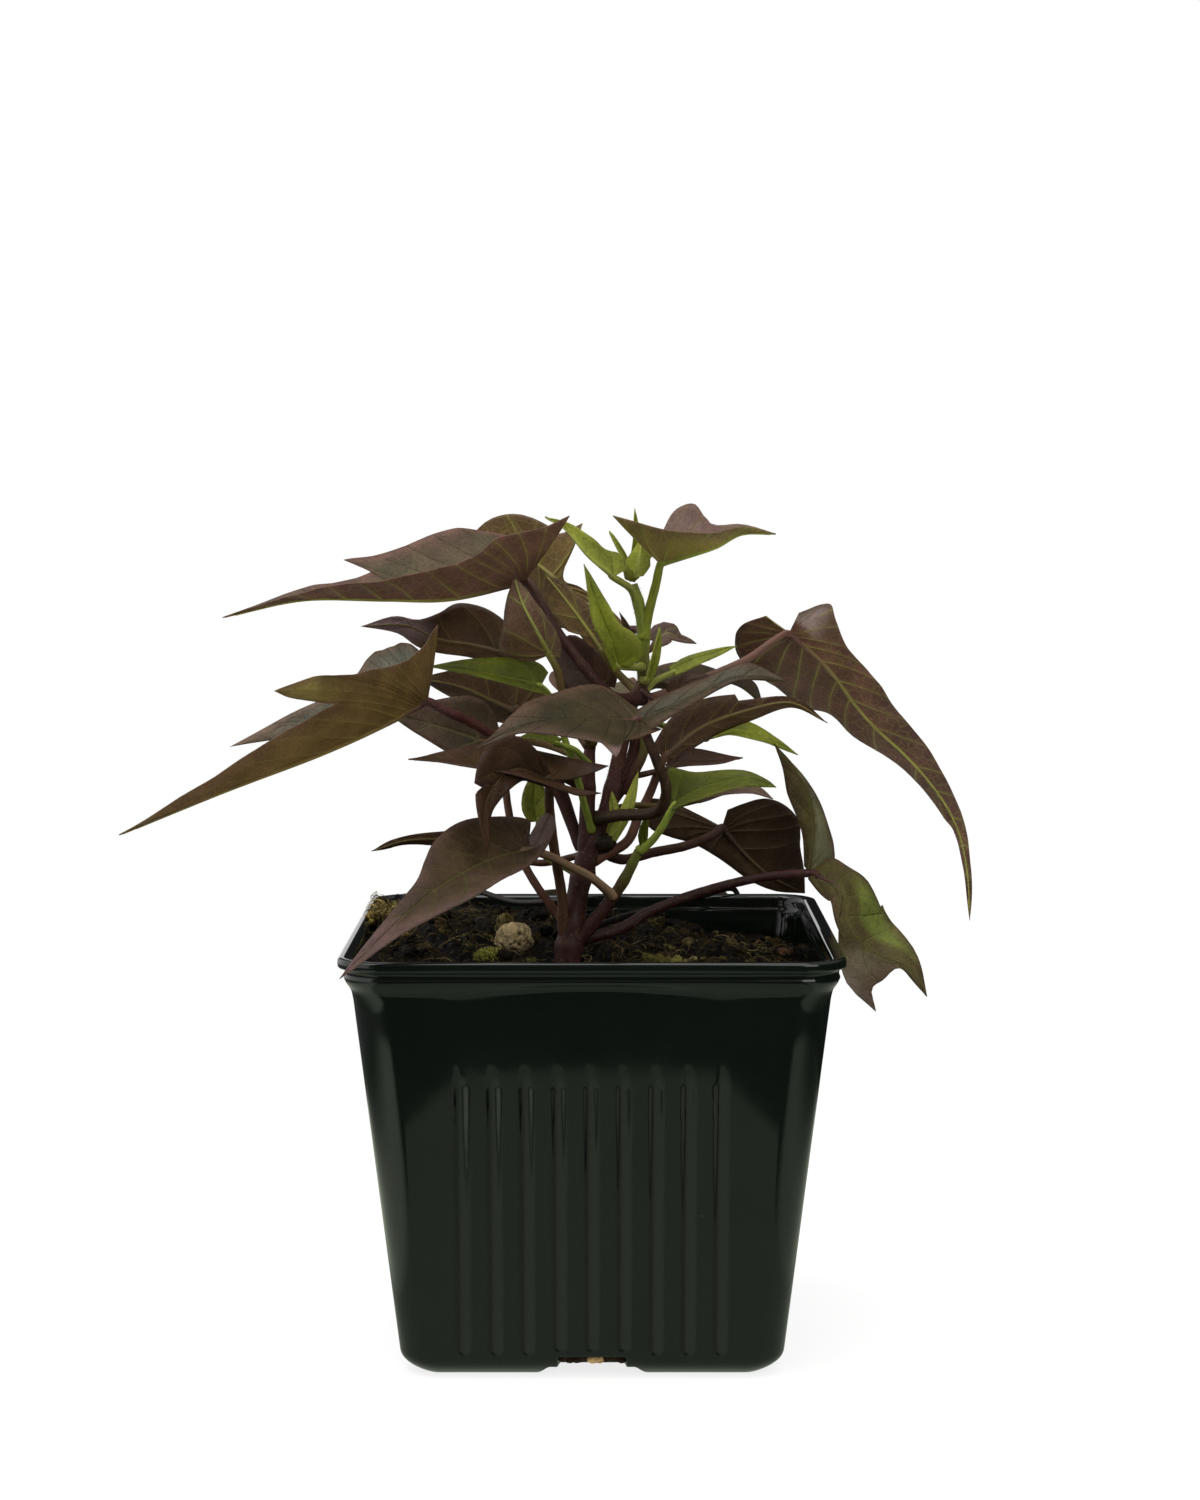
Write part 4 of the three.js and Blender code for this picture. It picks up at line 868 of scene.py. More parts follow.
    def add_to(self, shape: Shape, dye: Dye, seed: int) -> None:
        """Adds the blade's two sides and its rim: rows run out along the veins, columns along the rib.

        On a row that leaves the rib at r, u = r + s (margin - r) - 2 arch s (1 - s). The blade bulges between
        veins by sin^2 of the vein number, and a vein is a ridge below and a groove above.

        Args:
            shape: What it is added to.
            dye: Its colours.
            seed: Seed of its waves.
        """
        t, number = self.rows()
        rows, long = len(t), self.length()
        edges = [self.margin(half, t) for half in (0, 1)]
        widest = max(edge[:, 1].max() for edge in edges)
        columns = int(np.clip(round(widest / COLUMN_WIDTH), FEWEST_COLUMNS, MOST_COLUMNS))
        s = np.linspace(0, 1, columns + 1) ** 1.2
        root = self.roots(t, edges)[:, None]
        phase = np.random.default_rng(seed).random(2) * 6.28
        stand = 1 / max(math.cos(math.radians(sum(self.fold) / 2)), 0.55)
        upper, under, vein_up, vein_low, rim = (linear(code) for code in dye.value[:5])
        tip, up, _ = self.frame_at(np.array([1.0]))
        t, number = t[:, None], number[:, None]
        last = (rows - 1) * len(s) + np.arange(columns)
        fan = joined(last, rows * len(s), last + 1)
        border = np.concatenate([np.arange(len(s)), np.arange(1, rows) * len(s) + columns, [rows * len(s)]])
        for half, edge in enumerate(edges):
            margin, wide, lift = edge.T[:, :, None]
            arch = 0.14 * wide / long * np.clip(t / 0.2, 0, 1)
            u = root + s * (margin - root) - arch * 4 * s * (1 - s) * 0.5
            w = s * wide
            wave = 0.022 * widest * np.sin(1.7 * number + phase[half]) * s ** 3
            wave = np.clip(wave, -0.35, 0.35) * smoothstep(1.0, 0.8, t)
            points, normal = self.surface(half, u, w, lift * s ** 2 + wave)
            gap = np.linalg.norm(np.gradient(points, axis=0), axis=-1) / np.gradient(number, axis=0)
            gap = np.maximum(gap, 0.2)
            beside = np.where(np.round(number) > 0, np.abs((number + 0.5) % 1 - 0.5) * gap, gap)
            hump = np.sin(np.pi * number) ** 2 * (4 * s * (1 - s)) ** 0.7 * 0.03 * np.clip(gap, 0, 9)
            vein = np.exp(-(beside / 0.33) ** 2) * (1 - 0.75 * s) * np.clip(w / 0.8, 0, 1)
            thick = self.half_thick * (1 - 0.45 * s ** 4)
            thick = np.where(s == 0, thick * stand, thick)
            along, across = u * long, w * (1 - 2 * half)
            stray = rugged(along, across, 7.0, seed)
            blush = 0.45 * smoothstep(-0.1, 0.9, rugged(along + 40, across, 10.0, seed + 1))
            hem = 0.75 * np.exp(-((wide - w) / 1.6) ** 2) * np.clip(wide / 4, 0.3, 1)
            rib_half = np.clip(0.55 * (1 - np.clip(u, 0, 1)) + 0.1, 0.1, 0.6)
            first = shape.count
            for top in (True, False):
                hue = lerp(upper if top else under, 0.85 * rim, blush[..., None])
                for stain in self.stains:
                    if stain.half == half:
                        code = linear(stain.upper if top else stain.under)
                        hue = lerp(hue, code, stain.share(u, w, stray)[..., None])
                hue = lerp(hue, rim, hem[..., None])
                offset = hump + (thick - 0.1 * vein if top else -(thick + 0.2 * vein))
                body, hue, veins, flat, ribs = (rows_and_tip(value) for value in (
                    points + offset[..., None] * normal, hue, joined(number, s, gap),
                    joined(along, across, VEINS_ABOVE if top else VEINS_BELOW),
                    joined(rib_half, -1.0 if top else 1.0, NET_SHARE)))
                body[-1] = tip[0] + up[0] * (0.1 if top else -0.1)
                flip = (half == 1) == top
                start = shape.count
                shape.add(body, [grid_quads(rows, len(s), flip=flip), fan[:, ::-1] if flip else fan], hue=hue,
                          vein_hue=vein_up if top else vein_low, vein=veins, flat=flat, rib=ribs)
            a, b = border[:-1], border[1:]
            hem_quads = joined(a, b, b + start - first, a + start - first) + first
            shape.stitch(hem_quads[:, ::-1] if half == 1 else hem_quads)


def rows_and_tip(values: Array) -> Array:
    """Values of a grid's points, row by row, with the last of them once more for the tip."""
    flat = values.reshape(-1, values.shape[-1])
    return np.concatenate([flat, flat[-1:]])


@dataclass(frozen=True)
class Leaf:
    """A leaf: its blades, its petiole, which goes on under the blade as the midrib, and perhaps a bud."""

    name: str
    slot: str
    dye: Dye
    blades: tuple[Blade, ...]
    petiole: tuple[Point, ...] = ()
    girth: tuple[float, float] = (1.1, 0.85)
    bud: tuple[Point, Point] | None = None
    bud_code: str = "777828"
    sides: int = 14

    def add_petiole(self, shape: Shape) -> None:
        """Adds the petiole: a tube that swells where it leaves the stem, its colour running to the leaf's.

        Args:
            shape: What it is added to.
        """
        points, up, _ = self.blades[0].frame_at(np.array([0.0, 0.05]))
        path = [*self.petiole, *(points - 0.25 * up)]
        steps = 9 * len(path)
        foot, end = self.girth
        radii = np.interp(np.linspace(0, 1, steps), (0, 0.8, 0.95, 1), (foot, end, end * 0.85, end * 0.6))
        rings, t, run = rings_along(path, radii, self.sides, steps)
        swell = 1 + 0.35 * np.exp(-(run / 2.6) ** 2) + 0.02 * np.sin(run * 1.7)
        centre = rings.mean(1, keepdims=True)
        self.add_tube(shape, centre + (rings - centre) * swell[:, None, None], t, run, self.dye.value[5:7])

    def add_tube(self, shape: Shape, rings: Array, t: Array, run: Array, codes: tuple[str, str]) -> None:
        """Adds a closed tube whose colour runs from one code to the other.

        Args:
            shape: What it is added to.
            rings: Its rings.
            t: Place of each ring from 0, where it has the first colour, to 1.
            run: Its length up to each ring, in mm.
            codes: The two colours.
        """
        first, second = (linear(code) for code in codes)
        hue = lerp(first, second, smoothstep(0.55, 1, t)[:, None])
        turn = np.linspace(0, 2 * np.pi, rings.shape[1], endpoint=False)
        radius = np.linalg.norm(rings - rings.mean(1, keepdims=True), axis=-1)
        add_stalk(shape, rings, run, hue, radius * turn, 1, vein_hue=first, vein=np.zeros(3), rib=np.zeros(3))

    def add_midrib(self, shape: Shape, blade: Blade) -> None:
        """Adds the midrib: a tube half sunk in the underside that thins to the tip.

        Args:
            shape: What it is added to.
            blade: The blade that it lies under.
        """
        u = np.linspace(0.0, 0.96, 14)
        points, up, _ = blade.frame_at(u)
        thick = self.girth[1] * 0.62 if blade is self.blades[0] else 0.4
        radii = np.interp(u, (0, 0.25, 1), (thick, thick * 0.62, 0.16))
        rings, t, run = rings_along(points - up * (0.1 + 0.35 * radii)[:, None], radii, 8, 44)
        self.add_tube(shape, rings, 1 - t, run, (self.dye.value[3], self.dye.value[6]))

    def add_bud(self, shape: Shape) -> None:
        """Adds the bud: a ball whose radius varies by sin 7x sin (6y + 1).

        Args:
            shape: What it is added to.
        """
        centre, sizes = self.bud
        points, faces = ball(3)
        rough = 1 + 0.12 * np.sin(7 * points[:, :1]) * np.sin(6 * points[:, 1:2] + 1)
        hue = linear(self.bud_code)
        shape.add(points * rough * sizes + centre, [faces], 1, hue=hue, vein_hue=hue, flat=points * 3,
                  vein=np.zeros(3), rib=np.zeros(3))

    def build(self, seed: int, materials: list[Material]) -> None:
        """Makes the leaf.

        Args:
            seed: Seed of its waves.
            materials: Blade and stalk finishes.
        """
        shape = Shape()
        for k, blade in enumerate(self.blades):
            blade.add_to(shape, blade.dye or self.dye, seed * 10 + k)
            self.add_midrib(shape, blade)
        if self.petiole:
            self.add_petiole(shape)
        if self.bud:
            self.add_bud(shape)
        shape.place(self.name + "_detailed", materials, self.slot, self.name)


def ball(levels: int) -> tuple[Array, Array]:
    """Unit ball: a cube's faces cut into squares, their points pushed out to the sphere, p / |p|.

    Args:
        levels: The faces are cut 2 * levels times each way.

    Returns:
        Its points and quads, with the cube's edges merged.
    """
    n = 2 * levels
    line = np.tan(np.linspace(-1, 1, n + 1) * np.pi / 4)
    a, b = np.meshgrid(line, line, indexing="ij")
    one = np.ones_like(a)
    turns = [(one, a, b), (-one, b, a), (b, one, a), (a, -one, b), (a, b, one), (b, a, -one)]
    points = unit(np.concatenate([joined(*turn).reshape(-1, 3) for turn in turns]))
    quads = np.concatenate([grid_quads(n + 1, n + 1) + k * (n + 1) ** 2 for k in range(6)])
    _, keep, back = np.unique(np.round(points, 5), axis=0, return_index=True, return_inverse=True)
    return points[keep], back.reshape(-1)[quads]


# A leaf for each of the part's leaf nodes, with the sizes that its solid has. A blade starts with its rib and
# the direction in which its upper side faces.
LEAVES: tuple[Leaf, ...] = (
    Leaf("leaf_top_left", "purple", Dye.PLUM, petiole=((12, -1, 153), (6, -6, 153), (2, -9, 156),
        (-3, -10, 162), (-9, -9, 170), (-13, -7, 177)), girth=(1.5, 1.2), blades=(
        Blade(((-16, -4, 181), (-33, -12, 177), (-49, -18, 177), (-67, -22, 177), (-85, -24, 173)),
            (0, 0, 1), fold=(33, 50),
            left=((-0.08, 24, 0, 1), (0.03, 21.2), (0.16, 21.3), (0.21, 18), (0.27, 14.2), (0.42, 11.4),
                (0.57, 6.8), (0.76, 3)),
            right=((-0.1, 6), (-0.04, 12), (0.06, 16.7), (0.16, 18.2), (0.33, 16.8), (0.48, 13.3),
                (0.61, 10.7, 0, 1), (0.52, 7.6, 0, 1), (0.65, 4.8), (0.78, 2.4))),)),
    Leaf("leaf_top_left_rear", "olive", Dye.UMBER, petiole=((12, -3, 168.6), (11, 6.4, 168.8),
        (3, 12.5, 168.6), (-3, 13.5, 172)), blades=(
        Blade(((-7, 14, 179), (-13, 17, 184), (-20, 20, 189), (-30, 24, 191)), (0.2, 1, 0.3), sweep=2.2,
            left=((-0.9, 2), (-0.5, 3), (-0.15, 2.6), (0.08, 2), (0.27, 14.5, 0, 1), (0.36, 9.4),
                (0.52, 8.8), (0.7, 7.6), (0.88, 4.6)),
            right=((-0.4, 6), (-0.1, 12), (0.06, 10), (0.16, 8.4), (0.6, 4))),)),
    Leaf("leaf_far_left", "olive", Dye.SPEAR, petiole=((-1, -1, 131), (-11, -8, 137), (-21, -16, 144),
        (-29, -21, 149), (-33, -24, 151)), girth=(1.3, 1.1), blades=(
        Blade(((-38, -26, 154), (-47, -32, 149), (-61, -42, 143), (-81, -56, 136), (-102, -70, 128)),
            (0, 0, 1), fold=(55, 58), sweep=3.0, stains=(Stain(0, 0.5, 0.75, "7c7038", "7c7038", 15.0),),
            left=((-0.1, 20, 0, 1), (0.03, 16.7), (0.2, 16), (0.38, 19.5), (0.5, 22.5), (0.64, 25.4, -2, 1),
                (0.58, 19.4), (0.46, 13.5, 0, 1), (0.56, 11.4), (0.68, 9.4), (0.8, 5.2), (0.92, 1.6)),
            right=((-0.14, 6.6), (-0.12, 11.9), (-0.06, 14.6), (0.03, 15.8), (0.14, 15.2), (0.33, 12.6),
                (0.5, 11.4), (0.69, 8.8, 0, 1), (0.52, 7, 0, 1), (0.7, 3.6), (0.85, 1.6))),)),
    Leaf("leaf_left_twisted", "dark", Dye.BARK, petiole=((-0.6, 0, 141), (-8, 8, 149),
        (-15, 9, 157)), blades=(
        Blade(((-21, 8, 163), (-29, 8, 165), (-37, 6, 166.5), (-45, 2, 170), (-55, -2, 170)), (0, 1, 0.1),
            stains=(Stain(1, -0.2, 1.1, "5c4e50", "59432a", 0.3), Stain(0, 0.6, 1.1, "806c6c", "806c6c"),
            Stain(1, 0.6, 1.1, "806c6c", "806c6c")),
            left=((-0.02, 6), (0.11, 8.4), (0.25, 9.9), (0.4, 9.6), (0.55, 6.4), (0.68, 2.2), (0.82, 2)),
            right=((-0.06, 3), (0.08, 3.6), (0.25, 3.4), (0.45, 3.6), (0.6, 4.2), (0.79, 2.2), (0.9, 1))),)),
    Leaf("leaf_left_lime", "lime", Dye.LEAFGREEN, petiole=((0, -3, 121), (-2, -5, 128), (-4, -7, 136),
        (-7, -8, 145), (-9.5, -10, 153)), girth=(0.9, 0.75), blades=(
        Blade(((-12, -12, 156.5), (-20, -14, 158.4), (-28, -16, 160.2), (-38, -18, 161.4)), (0.1, -0.6, 0.8),
            fold=(10, 20),
            left=((-0.08, 3), (0.08, 3.6), (0.35, 3), (0.63, 2.2)),
            right=((-0.06, 4), (0.01, 5.6), (0.12, 6.2), (0.28, 5.8), (0.48, 4.6), (0.76, 2.6))),)),
    Leaf("leaf_left_brown", "dark", Dye.EARTH, petiole=((-5, -4, 97), (-8.4, -1, 101), (-13, 0, 107),
        (-17, 2, 114), (-20, 4, 124), (-21, 6, 136)), girth=(1.1, 0.9), blades=(
        Blade(((-18, 6, 149), (-25, 8, 152), (-32, 9, 155), (-42, 10, 157)), (0, 1, 0.3),
            stains=(Stain(1, -0.5, 1.1, "3c2818", "3e2a18", 0.3),),
            left=((-0.24, 6), (-0.1, 8.6), (0.08, 9.2), (0.31, 7.7), (0.64, 5)),
            right=((-0.1, 4), (0.09, 5), (0.3, 6.4), (0.5, 6.2), (0.78, 3.6))),)),
    Leaf("leaf_left_under", "purple", Dye.SLATE, petiole=((-1, 0.4, 137.4), (-10, 7.6, 140.6),
        (-19, 10, 142)), girth=(1, 0.85), blades=(
        Blade(((-26, 4, 142), (-36, 3, 145.5), (-49, 2, 149)), (0, -0.9, 0.3), fold=(8, 8),
            left=((-0.12, 4), (0.08, 6.2), (0.4, 5.6), (0.75, 3)),
            right=((-0.12, 4), (0.04, 8), (0.3, 9.4), (0.6, 6.4), (0.84, 2.4))),)),
    Leaf("leaf_front", "olive", Dye.OLIVE, petiole=((1, -2, 124), (7, -12, 126), (13, -19, 127),
        (16, -24, 129), (17, -28, 134), (15, -32, 140), (13, -34, 145)), girth=(1.5, 1.1), blades=(
        Blade(((11, -34, 150), (-2, -42, 151), (-15, -50, 150), (-26, -54, 145)), (0, -0.5, 0.85),
            fold=(4, 4), sweep=2.4, stains=(Stain(0, 0.2, 0.6, "786060", "6e5654", 16.0, 0.1),),
            left=((-0.06, 5), (0.12, 9), (0.3, 14), (0.42, 21, -1, 1), (0.4, 13, 0, 1), (0.53, 7.4),
                (0.68, 3.2), (0.84, 1.4)),
            right=((-0.06, 4), (0.02, 9), (0.12, 12.4), (0.26, 12), (0.4, 10.2), (0.54, 7.9), (0.71, 3.9),
                (0.85, 1.8))),
        Blade(((11, -34, 150), (22, -36, 155), (33, -37, 160), (44, -36, 159)), (0, -0.6, 0.8), fold=(4, 4),
            stains=(Stain(0, 0.0, 1.1, "46412f", "4e4636", -4.0, 0.15),),
            left=((-0.06, 3), (0.14, 4.4), (0.29, 4.4), (0.48, 3.6), (0.63, 3.8), (0.75, 4.2), (0.87, 2.6)),
            right=((-0.1, 5), (0.04, 5), (0.2, 3.4), (0.4, 2.2), (0.63, 1.6), (0.82, 0.9))))),
    Leaf("leaf_right_dark", "dark", Dye.EARTH, petiole=((0, -2, 114), (8, 0, 118), (11, 2, 124),
        (14, 4, 130)), girth=(1.3, 1), blades=(
        Blade(((17, 4, 138), (26, 8, 145), (37, 10, 149), (48, 10, 151), (57, 10, 146)), (0, 1, 0.4),
            stains=(Stain(1, -0.5, 1.1, "3c2516", "3a2314", 0.3),
            Stain(0, -0.5, 1.1, "5c4029", "5e422a", 0.0)),
            left=((0.02, 4.6), (0.14, 4.4), (0.28, 5), (0.5, 4), (0.67, 2.6), (0.84, 1)),
            right=((0, 4), (0.16, 6), (0.32, 6), (0.47, 4.6, 0, 1), (0.48, 2.8, 0, 1), (0.62, 1.8),
                (0.8, 1.2))),)),
    Leaf("leaf_far_right", "purple", Dye.ORCHID, petiole=((12, 0, 152), (24, 6, 156), (37, 13, 161),
        (45, 19, 166)), girth=(1.15, 0.85), blades=(
        Blade(((48.4, 24, 167.2), (58.6, 28, 157.8), (68.4, 34, 145.4), (82.4, 42, 132.1), (92.4, 50, 118.5),
            (97.1, 58, 104.5), (99.3, 68, 89.2)), (0.4, 0.8, 0.4), fold=(14, 14),
            # The pale patch on the right half's basal lobe is painted light that makes up for the shade that
            # lobe lies in
            stains=(Stain(1, -0.4, 0.05, "a8928e", "a48e8a", 3.5, 0.05),),
            left=((-0.08, 1.6), (-0.09, 9), (-0.06, 16), (0.02, 23), (0.13, 22.6), (0.25, 20),
                (0.29, 15.7, 0, 1), (0.31, 9.4), (0.38, 8.5), (0.49, 5.2), (0.65, 3), (0.7, 1.4, 0, 1),
                (0.8, 1.4), (0.92, 0.7)),
            right=((-0.03, 5.8), (-0.01, 9.9), (0.02, 12.5), (0.07, 10.6), (0.15, 7.4), (0.22, 7.7),
                (0.28, 8.6), (0.38, 7), (0.48, 5.4), (0.57, 4), (0.66, 2.4), (0.78, 1.4), (0.92, 0.8))),)),
    Leaf("leaf_right_low", "olive", Dye.DUSK, petiole=((-4.4, -4.6, 95), (6, -1, 97), (14, 3, 101),
        (26, 7, 105), (40, 11, 108)), girth=(1.4, 1.1), blades=(
        Blade(((53, 14, 109), (61, 10, 105), (62.5, 8, 97), (68, 8, 90), (76, 6, 87), (81, 4, 80)),
            (0.4, -0.85, 0.3), fold=(-25, -25), sweep=1.6,
            stains=(Stain(0, 0.18, 1.1, "606826", "5a6228", 4.5),
            Stain(1, 0.5, 1.1, "5c5340", "6e6258", 1.0), Stain(1, 0.5, 1.1, "74655a", "6e6258", 8.0)),
            left=((-0.04, 3), (-0.02, 7), (0.05, 8.6), (0.13, 8.6), (0.22, 11.6), (0.36, 14.8), (0.5, 15),
                (0.64, 12.4), (0.77, 7.6), (0.9, 3.2)),
            right=((0.01, 1.5), (0.12, 4), (0.28, 3.8), (0.42, 3.2), (0.54, 4), (0.61, 7), (0.7, 13, 0, 1),
                (0.66, 8), (0.7, 5), (0.76, 1.4), (0.88, 1))),
        Blade(((53, 14, 109), (54, 14, 121), (51, 12, 131), (44, 10, 141)), (0.5, -0.8, 0.2),
            fold=(-25, -25), stains=(Stain(1, -0.2, 1.1, "5c5c40", "5a5840", 1.0),),
            left=((0.04, 1.4), (0.2, 2.6), (0.41, 4), (0.66, 4.2), (0.85, 1.8)),
            right=((-0.02, 7), (0.06, 11), (0.18, 10), (0.33, 6.4), (0.59, 3.2), (0.8, 1.4))))),
    Leaf("leaf_right_heart", "dark", Dye.INK, petiole=((0.4, -1, 117), (7, 8, 113), (15, 14, 114),
        (23, 19, 115), (29, 22, 117)), girth=(1.3, 1.1), blades=(
        Blade(((32, 24, 119), (39, 26, 111), (45, 27, 106), (53, 28, 102)), (0.1, 0.9, 0.4), fold=(14, 14),
            # The stain's under colour on the left half is lightened: painted light that makes up for the
            # shade that half lies in
            stains=(Stain(0, -0.8, 1.1, "4a382c", "78624a", 0.5),),
            left=((-0.2, 3), (-0.42, 8), (-0.5, 14), (-0.3, 17.6), (-0.14, 14.6), (0.01, 10.5), (0.26, 6.7),
                (0.54, 5), (0.8, 3)),
            right=((-0.08, 4), (-0.04, 8), (0.05, 13), (0.2, 15.6), (0.4, 15.6), (0.62, 13), (0.85, 7))),)),
    Leaf("leaf_low_left", "olive", Dye.MOSS, petiole=((5, -7, 106), (0, -12, 111), (-5, -14.5, 114),
        (-10, -18, 117)), girth=(1.1, 1), blades=(
        Blade(((-15, -22, 119), (-26, -36, 117), (-38, -52, 111), (-55, -66, 96)), (0.1, -0.5, 0.8),
            fold=(18, 10), stains=(Stain(0, 0.8, 1.1, "5f4644", "5f4644"),
            Stain(1, 0.8, 1.1, "5f4644", "5f4644")),
            left=((-0.04, 2, 1), (-0.02, 4.4, 3), (0.06, 6.4, 3), (0.16, 9, 1), (0.3, 11), (0.44, 11.4),
                (0.58, 10.7), (0.7, 7.4), (0.83, 3.6), (0.94, 1.2)),
            right=((-0.04, 3.4), (-0.15, 6.7), (-0.14, 9.6), (-0.01, 11.8), (0.2, 12.7), (0.38, 11.1),
                (0.5, 8), (0.62, 4.4), (0.76, 2.8), (0.9, 1.5))),
        Blade(((-20, -24, 114.4), (-16.6, -21.6, 116.4), (-12.8, -19.8, 120.8), (-9.7, -19, 127.2)),
            (-0.4, -0.9, 0), fold=(-16, -16), dye=Dye.UMBER,
            left=((0, 0.8), (0.2, 1.7), (0.45, 2.5), (0.8, 2.6), (0.95, 1.7))))),
    Leaf("leaf_low_left_rear", "dark", Dye.BARK, petiole=((-1.4, -1.6, 116), (-5, 4, 114), (-13, 9, 112),
        (-22, 10, 114)), girth=(0.9, 0.8), blades=(
        Blade(((-28, 8, 117), (-36, 7, 118), (-45, 4, 118), (-53, 0, 116)), (0, 1, 0.2),
            left=((-0.1, 2.4), (0.1, 3), (0.34, 2), (0.66, 1.2), (0.84, 0.9)),
            right=((-0.1, 2.4), (0.1, 3.2), (0.3, 2.4), (0.67, 1.1), (0.86, 0.8))),)),
    Leaf("leaf_mid_left", "dark", Dye.BARK, petiole=((-5.4, -6, 94), (-7, -6.8, 98), (-7.2, -8.4, 106),
        (-9, -12, 118), (-10, -16, 128)), girth=(1.3, 1.1), blades=(
        Blade(((-10, -20, 135), (-20, -25, 139), (-30, -29, 140.5), (-42, -32, 141)), (0, -0.4, 0.9),
            fold=(10, 10),
            left=((-0.34, 3, 2), (-0.16, 6), (0.02, 9), (0.24, 9), (0.5, 6.5), (0.7, 4.6), (0.86, 2)),
            right=((-0.4, 4.4, 6), (-0.2, 9, 2), (-0.02, 10.4), (0.17, 9), (0.43, 7.5), (0.73, 3.6),
                (0.88, 1.2))),
        Blade(((-10, -20, 135), (-18, -29, 138.5), (-24.4, -35, 131.5), (-24, -38, 119.5)), (0.2, -0.9, 0.4),
            up_tip=(0.9, -0.4, 0.1), fold=(14, 14),
            left=((0, 2), (0.3, 3.4), (0.52, 3.4), (0.7, 2.8), (0.9, 1.4)),
            right=((0, 2), (0.2, 5.6), (0.36, 8.2), (0.5, 7.6), (0.62, 5.6, 0, 1), (0.6, 1.8, 0, 1),
                (0.67, 4.4, 0, 1), (0.8, 2.8), (0.93, 1))))),
    Leaf("leaf_mid_lime", "lime", Dye.SPRING, petiole=((-1.4, -2, 109), (-6, 1, 111.5), (-11, 2.5, 114),
        (-13, 2, 118)), girth=(0.8, 0.7), blades=(
        Blade(((-13, 2, 123), (-14, 4, 128), (-14, 6, 134)), (0, -1, 0.2), fold=(12, 12),
            left=((0, 2.4), (0.3, 3.4), (0.62, 2.8), (0.86, 1.6)),
            right=((0, 2.4), (0.3, 3.2), (0.62, 2.9), (0.88, 1.6))),)),
    Leaf("leaf_under_lime", "lime", Dye.LEAFGREEN, petiole=((-1, -1, 137), (-4, -9, 141)),
        girth=(0.8, 0.7), blades=(
        Blade(((-8, -13, 143), (-13, -14, 144.6), (-18, -14.6, 144)), (0, -0.3, 1), fold=(12, 12),
            left=((-0.1, 2.4), (0.2, 4), (0.5, 3.2), (0.8, 1.4)),
            right=((-0.1, 2.4), (0.2, 3.6), (0.5, 2.8), (0.8, 1.2))),)),
    Leaf("leaf_top_right", "olive", Dye.BLUSH, petiole=((12, -3, 167), (13.5, -3.6, 174), (15, -5, 180)),
        girth=(1.2, 0.95), blades=(
        Blade(((16, -6, 185), (23, -10, 187), (29, -12, 189), (35, -12, 192), (43, -10, 192)), (0, 0, 1),
            fold=(60, 40),
            left=((-0.06, 4), (0.01, 9), (0.08, 12.6), (0.18, 13.7), (0.34, 13), (0.46, 9.4), (0.62, 5),
                (0.82, 2)),
            right=((-0.08, 18, 0, 1), (0.05, 13.7), (0.2, 9.6), (0.42, 7), (0.6, 4.6), (0.83, 1.6))),)),
    Leaf("leaf_top_green", "lime", Dye.SPRING, petiole=((10.8, -3, 176), (9, -5, 179), (7, -7, 180.5)),
        girth=(0.9, 0.8), blades=(
        Blade(((5, -8, 182), (-1, -12, 187), (-6, -14, 193), (-11, -14, 196)), (0.3, 0.2, 1), fold=(60, 55),
            left=((-0.04, 3), (0.1, 5.2), (0.2, 4.4, 0, 1), (0.27, 3.8), (0.41, 3.7), (0.6, 2.2), (0.8, 1)),
            right=((-0.04, 3), (0.1, 4.6), (0.3, 3.4), (0.55, 2.4), (0.8, 1))),)),
    Leaf("leaf_shoot_lime", "lime", Dye.SPRING, petiole=((12, -2, 160.5), (10, -7, 160.5)),
        girth=(0.9, 0.8), blades=(
        Blade(((6, -10, 161), (4, -13, 168), (1, -13, 176), (-2, -10, 185)), (0.2, -0.9, 0.1), fold=(25, 25),
            left=((-0.04, 1.6), (0.15, 2.4), (0.37, 2.8), (0.53, 3.2), (0.71, 2), (0.88, 0.8)),
            right=((-0.04, 2.6), (0.05, 6), (0.16, 7), (0.3, 6), (0.42, 3.4), (0.6, 2.7), (0.75, 1.8),
                (0.9, 0.8))),)),
    Leaf("leaf_shoot_purple", "purple", Dye.ROSE, petiole=((0, -1, 142), (-5, -12, 149), (-7, -15, 155),
        (-8, -16, 160)), girth=(1, 0.85), blades=(
        Blade(((-10, -16, 164), (-13, -20, 170), (-16, -21, 176), (-18, -19, 182)), (0.1, 1, 0.1),
            fold=(25, 25),
            left=((-0.1, 2), (0.07, 4), (0.37, 3.8), (0.58, 3.1), (0.83, 2)),
            right=((-0.06, 5), (0.02, 11), (0.1, 12.6, 0, 1), (0.3, 10.6), (0.55, 7.4), (0.8, 4.2),
                (0.94, 1.4))),)),
    Leaf("leaf_right_lime", "lime", Dye.LEAFGREEN, petiole=((11, -8, 117), (14, -9, 119.5),
        (16.5, -10, 123)), girth=(0.95, 0.85), blades=(
        Blade(((19, -10, 128), (25, -13, 132), (35, -15, 135), (43, -16, 133)), (0, -0.5, 0.85),
            fold=(15, 15),
            left=((-0.06, 5), (-0.04, 9), (0.04, 11.4), (0.18, 8.6), (0.33, 5.4), (0.55, 3.4), (0.75, 2.2),
                (0.91, 1.2)),
            right=((0.02, 3), (0.18, 6.4), (0.37, 8), (0.62, 6.6), (0.83, 3.2))),
        Blade(((12, -8.5, 118), (12, -9, 122), (13.5, -9.5, 127)), (0.2, -1, 0),
            left=((0.05, 0.9), (0.4, 1.3), (0.75, 0.8))))),
    Leaf("leaf_right_green", "lime", Dye.SPRING, petiole=((7.6, 0.3, 148), (12, 11, 147), (20, 15, 144)),
        girth=(0.85, 0.75), blades=(
        Blade(((27, 15, 142), (34, 15, 144), (42, 14, 142), (50, 13, 138)), (0, -0.4, 0.9), fold=(10, 10),
            left=((-0.02, 2), (0.18, 3.2), (0.38, 4), (0.55, 3.4), (0.73, 2), (0.88, 1.1)),
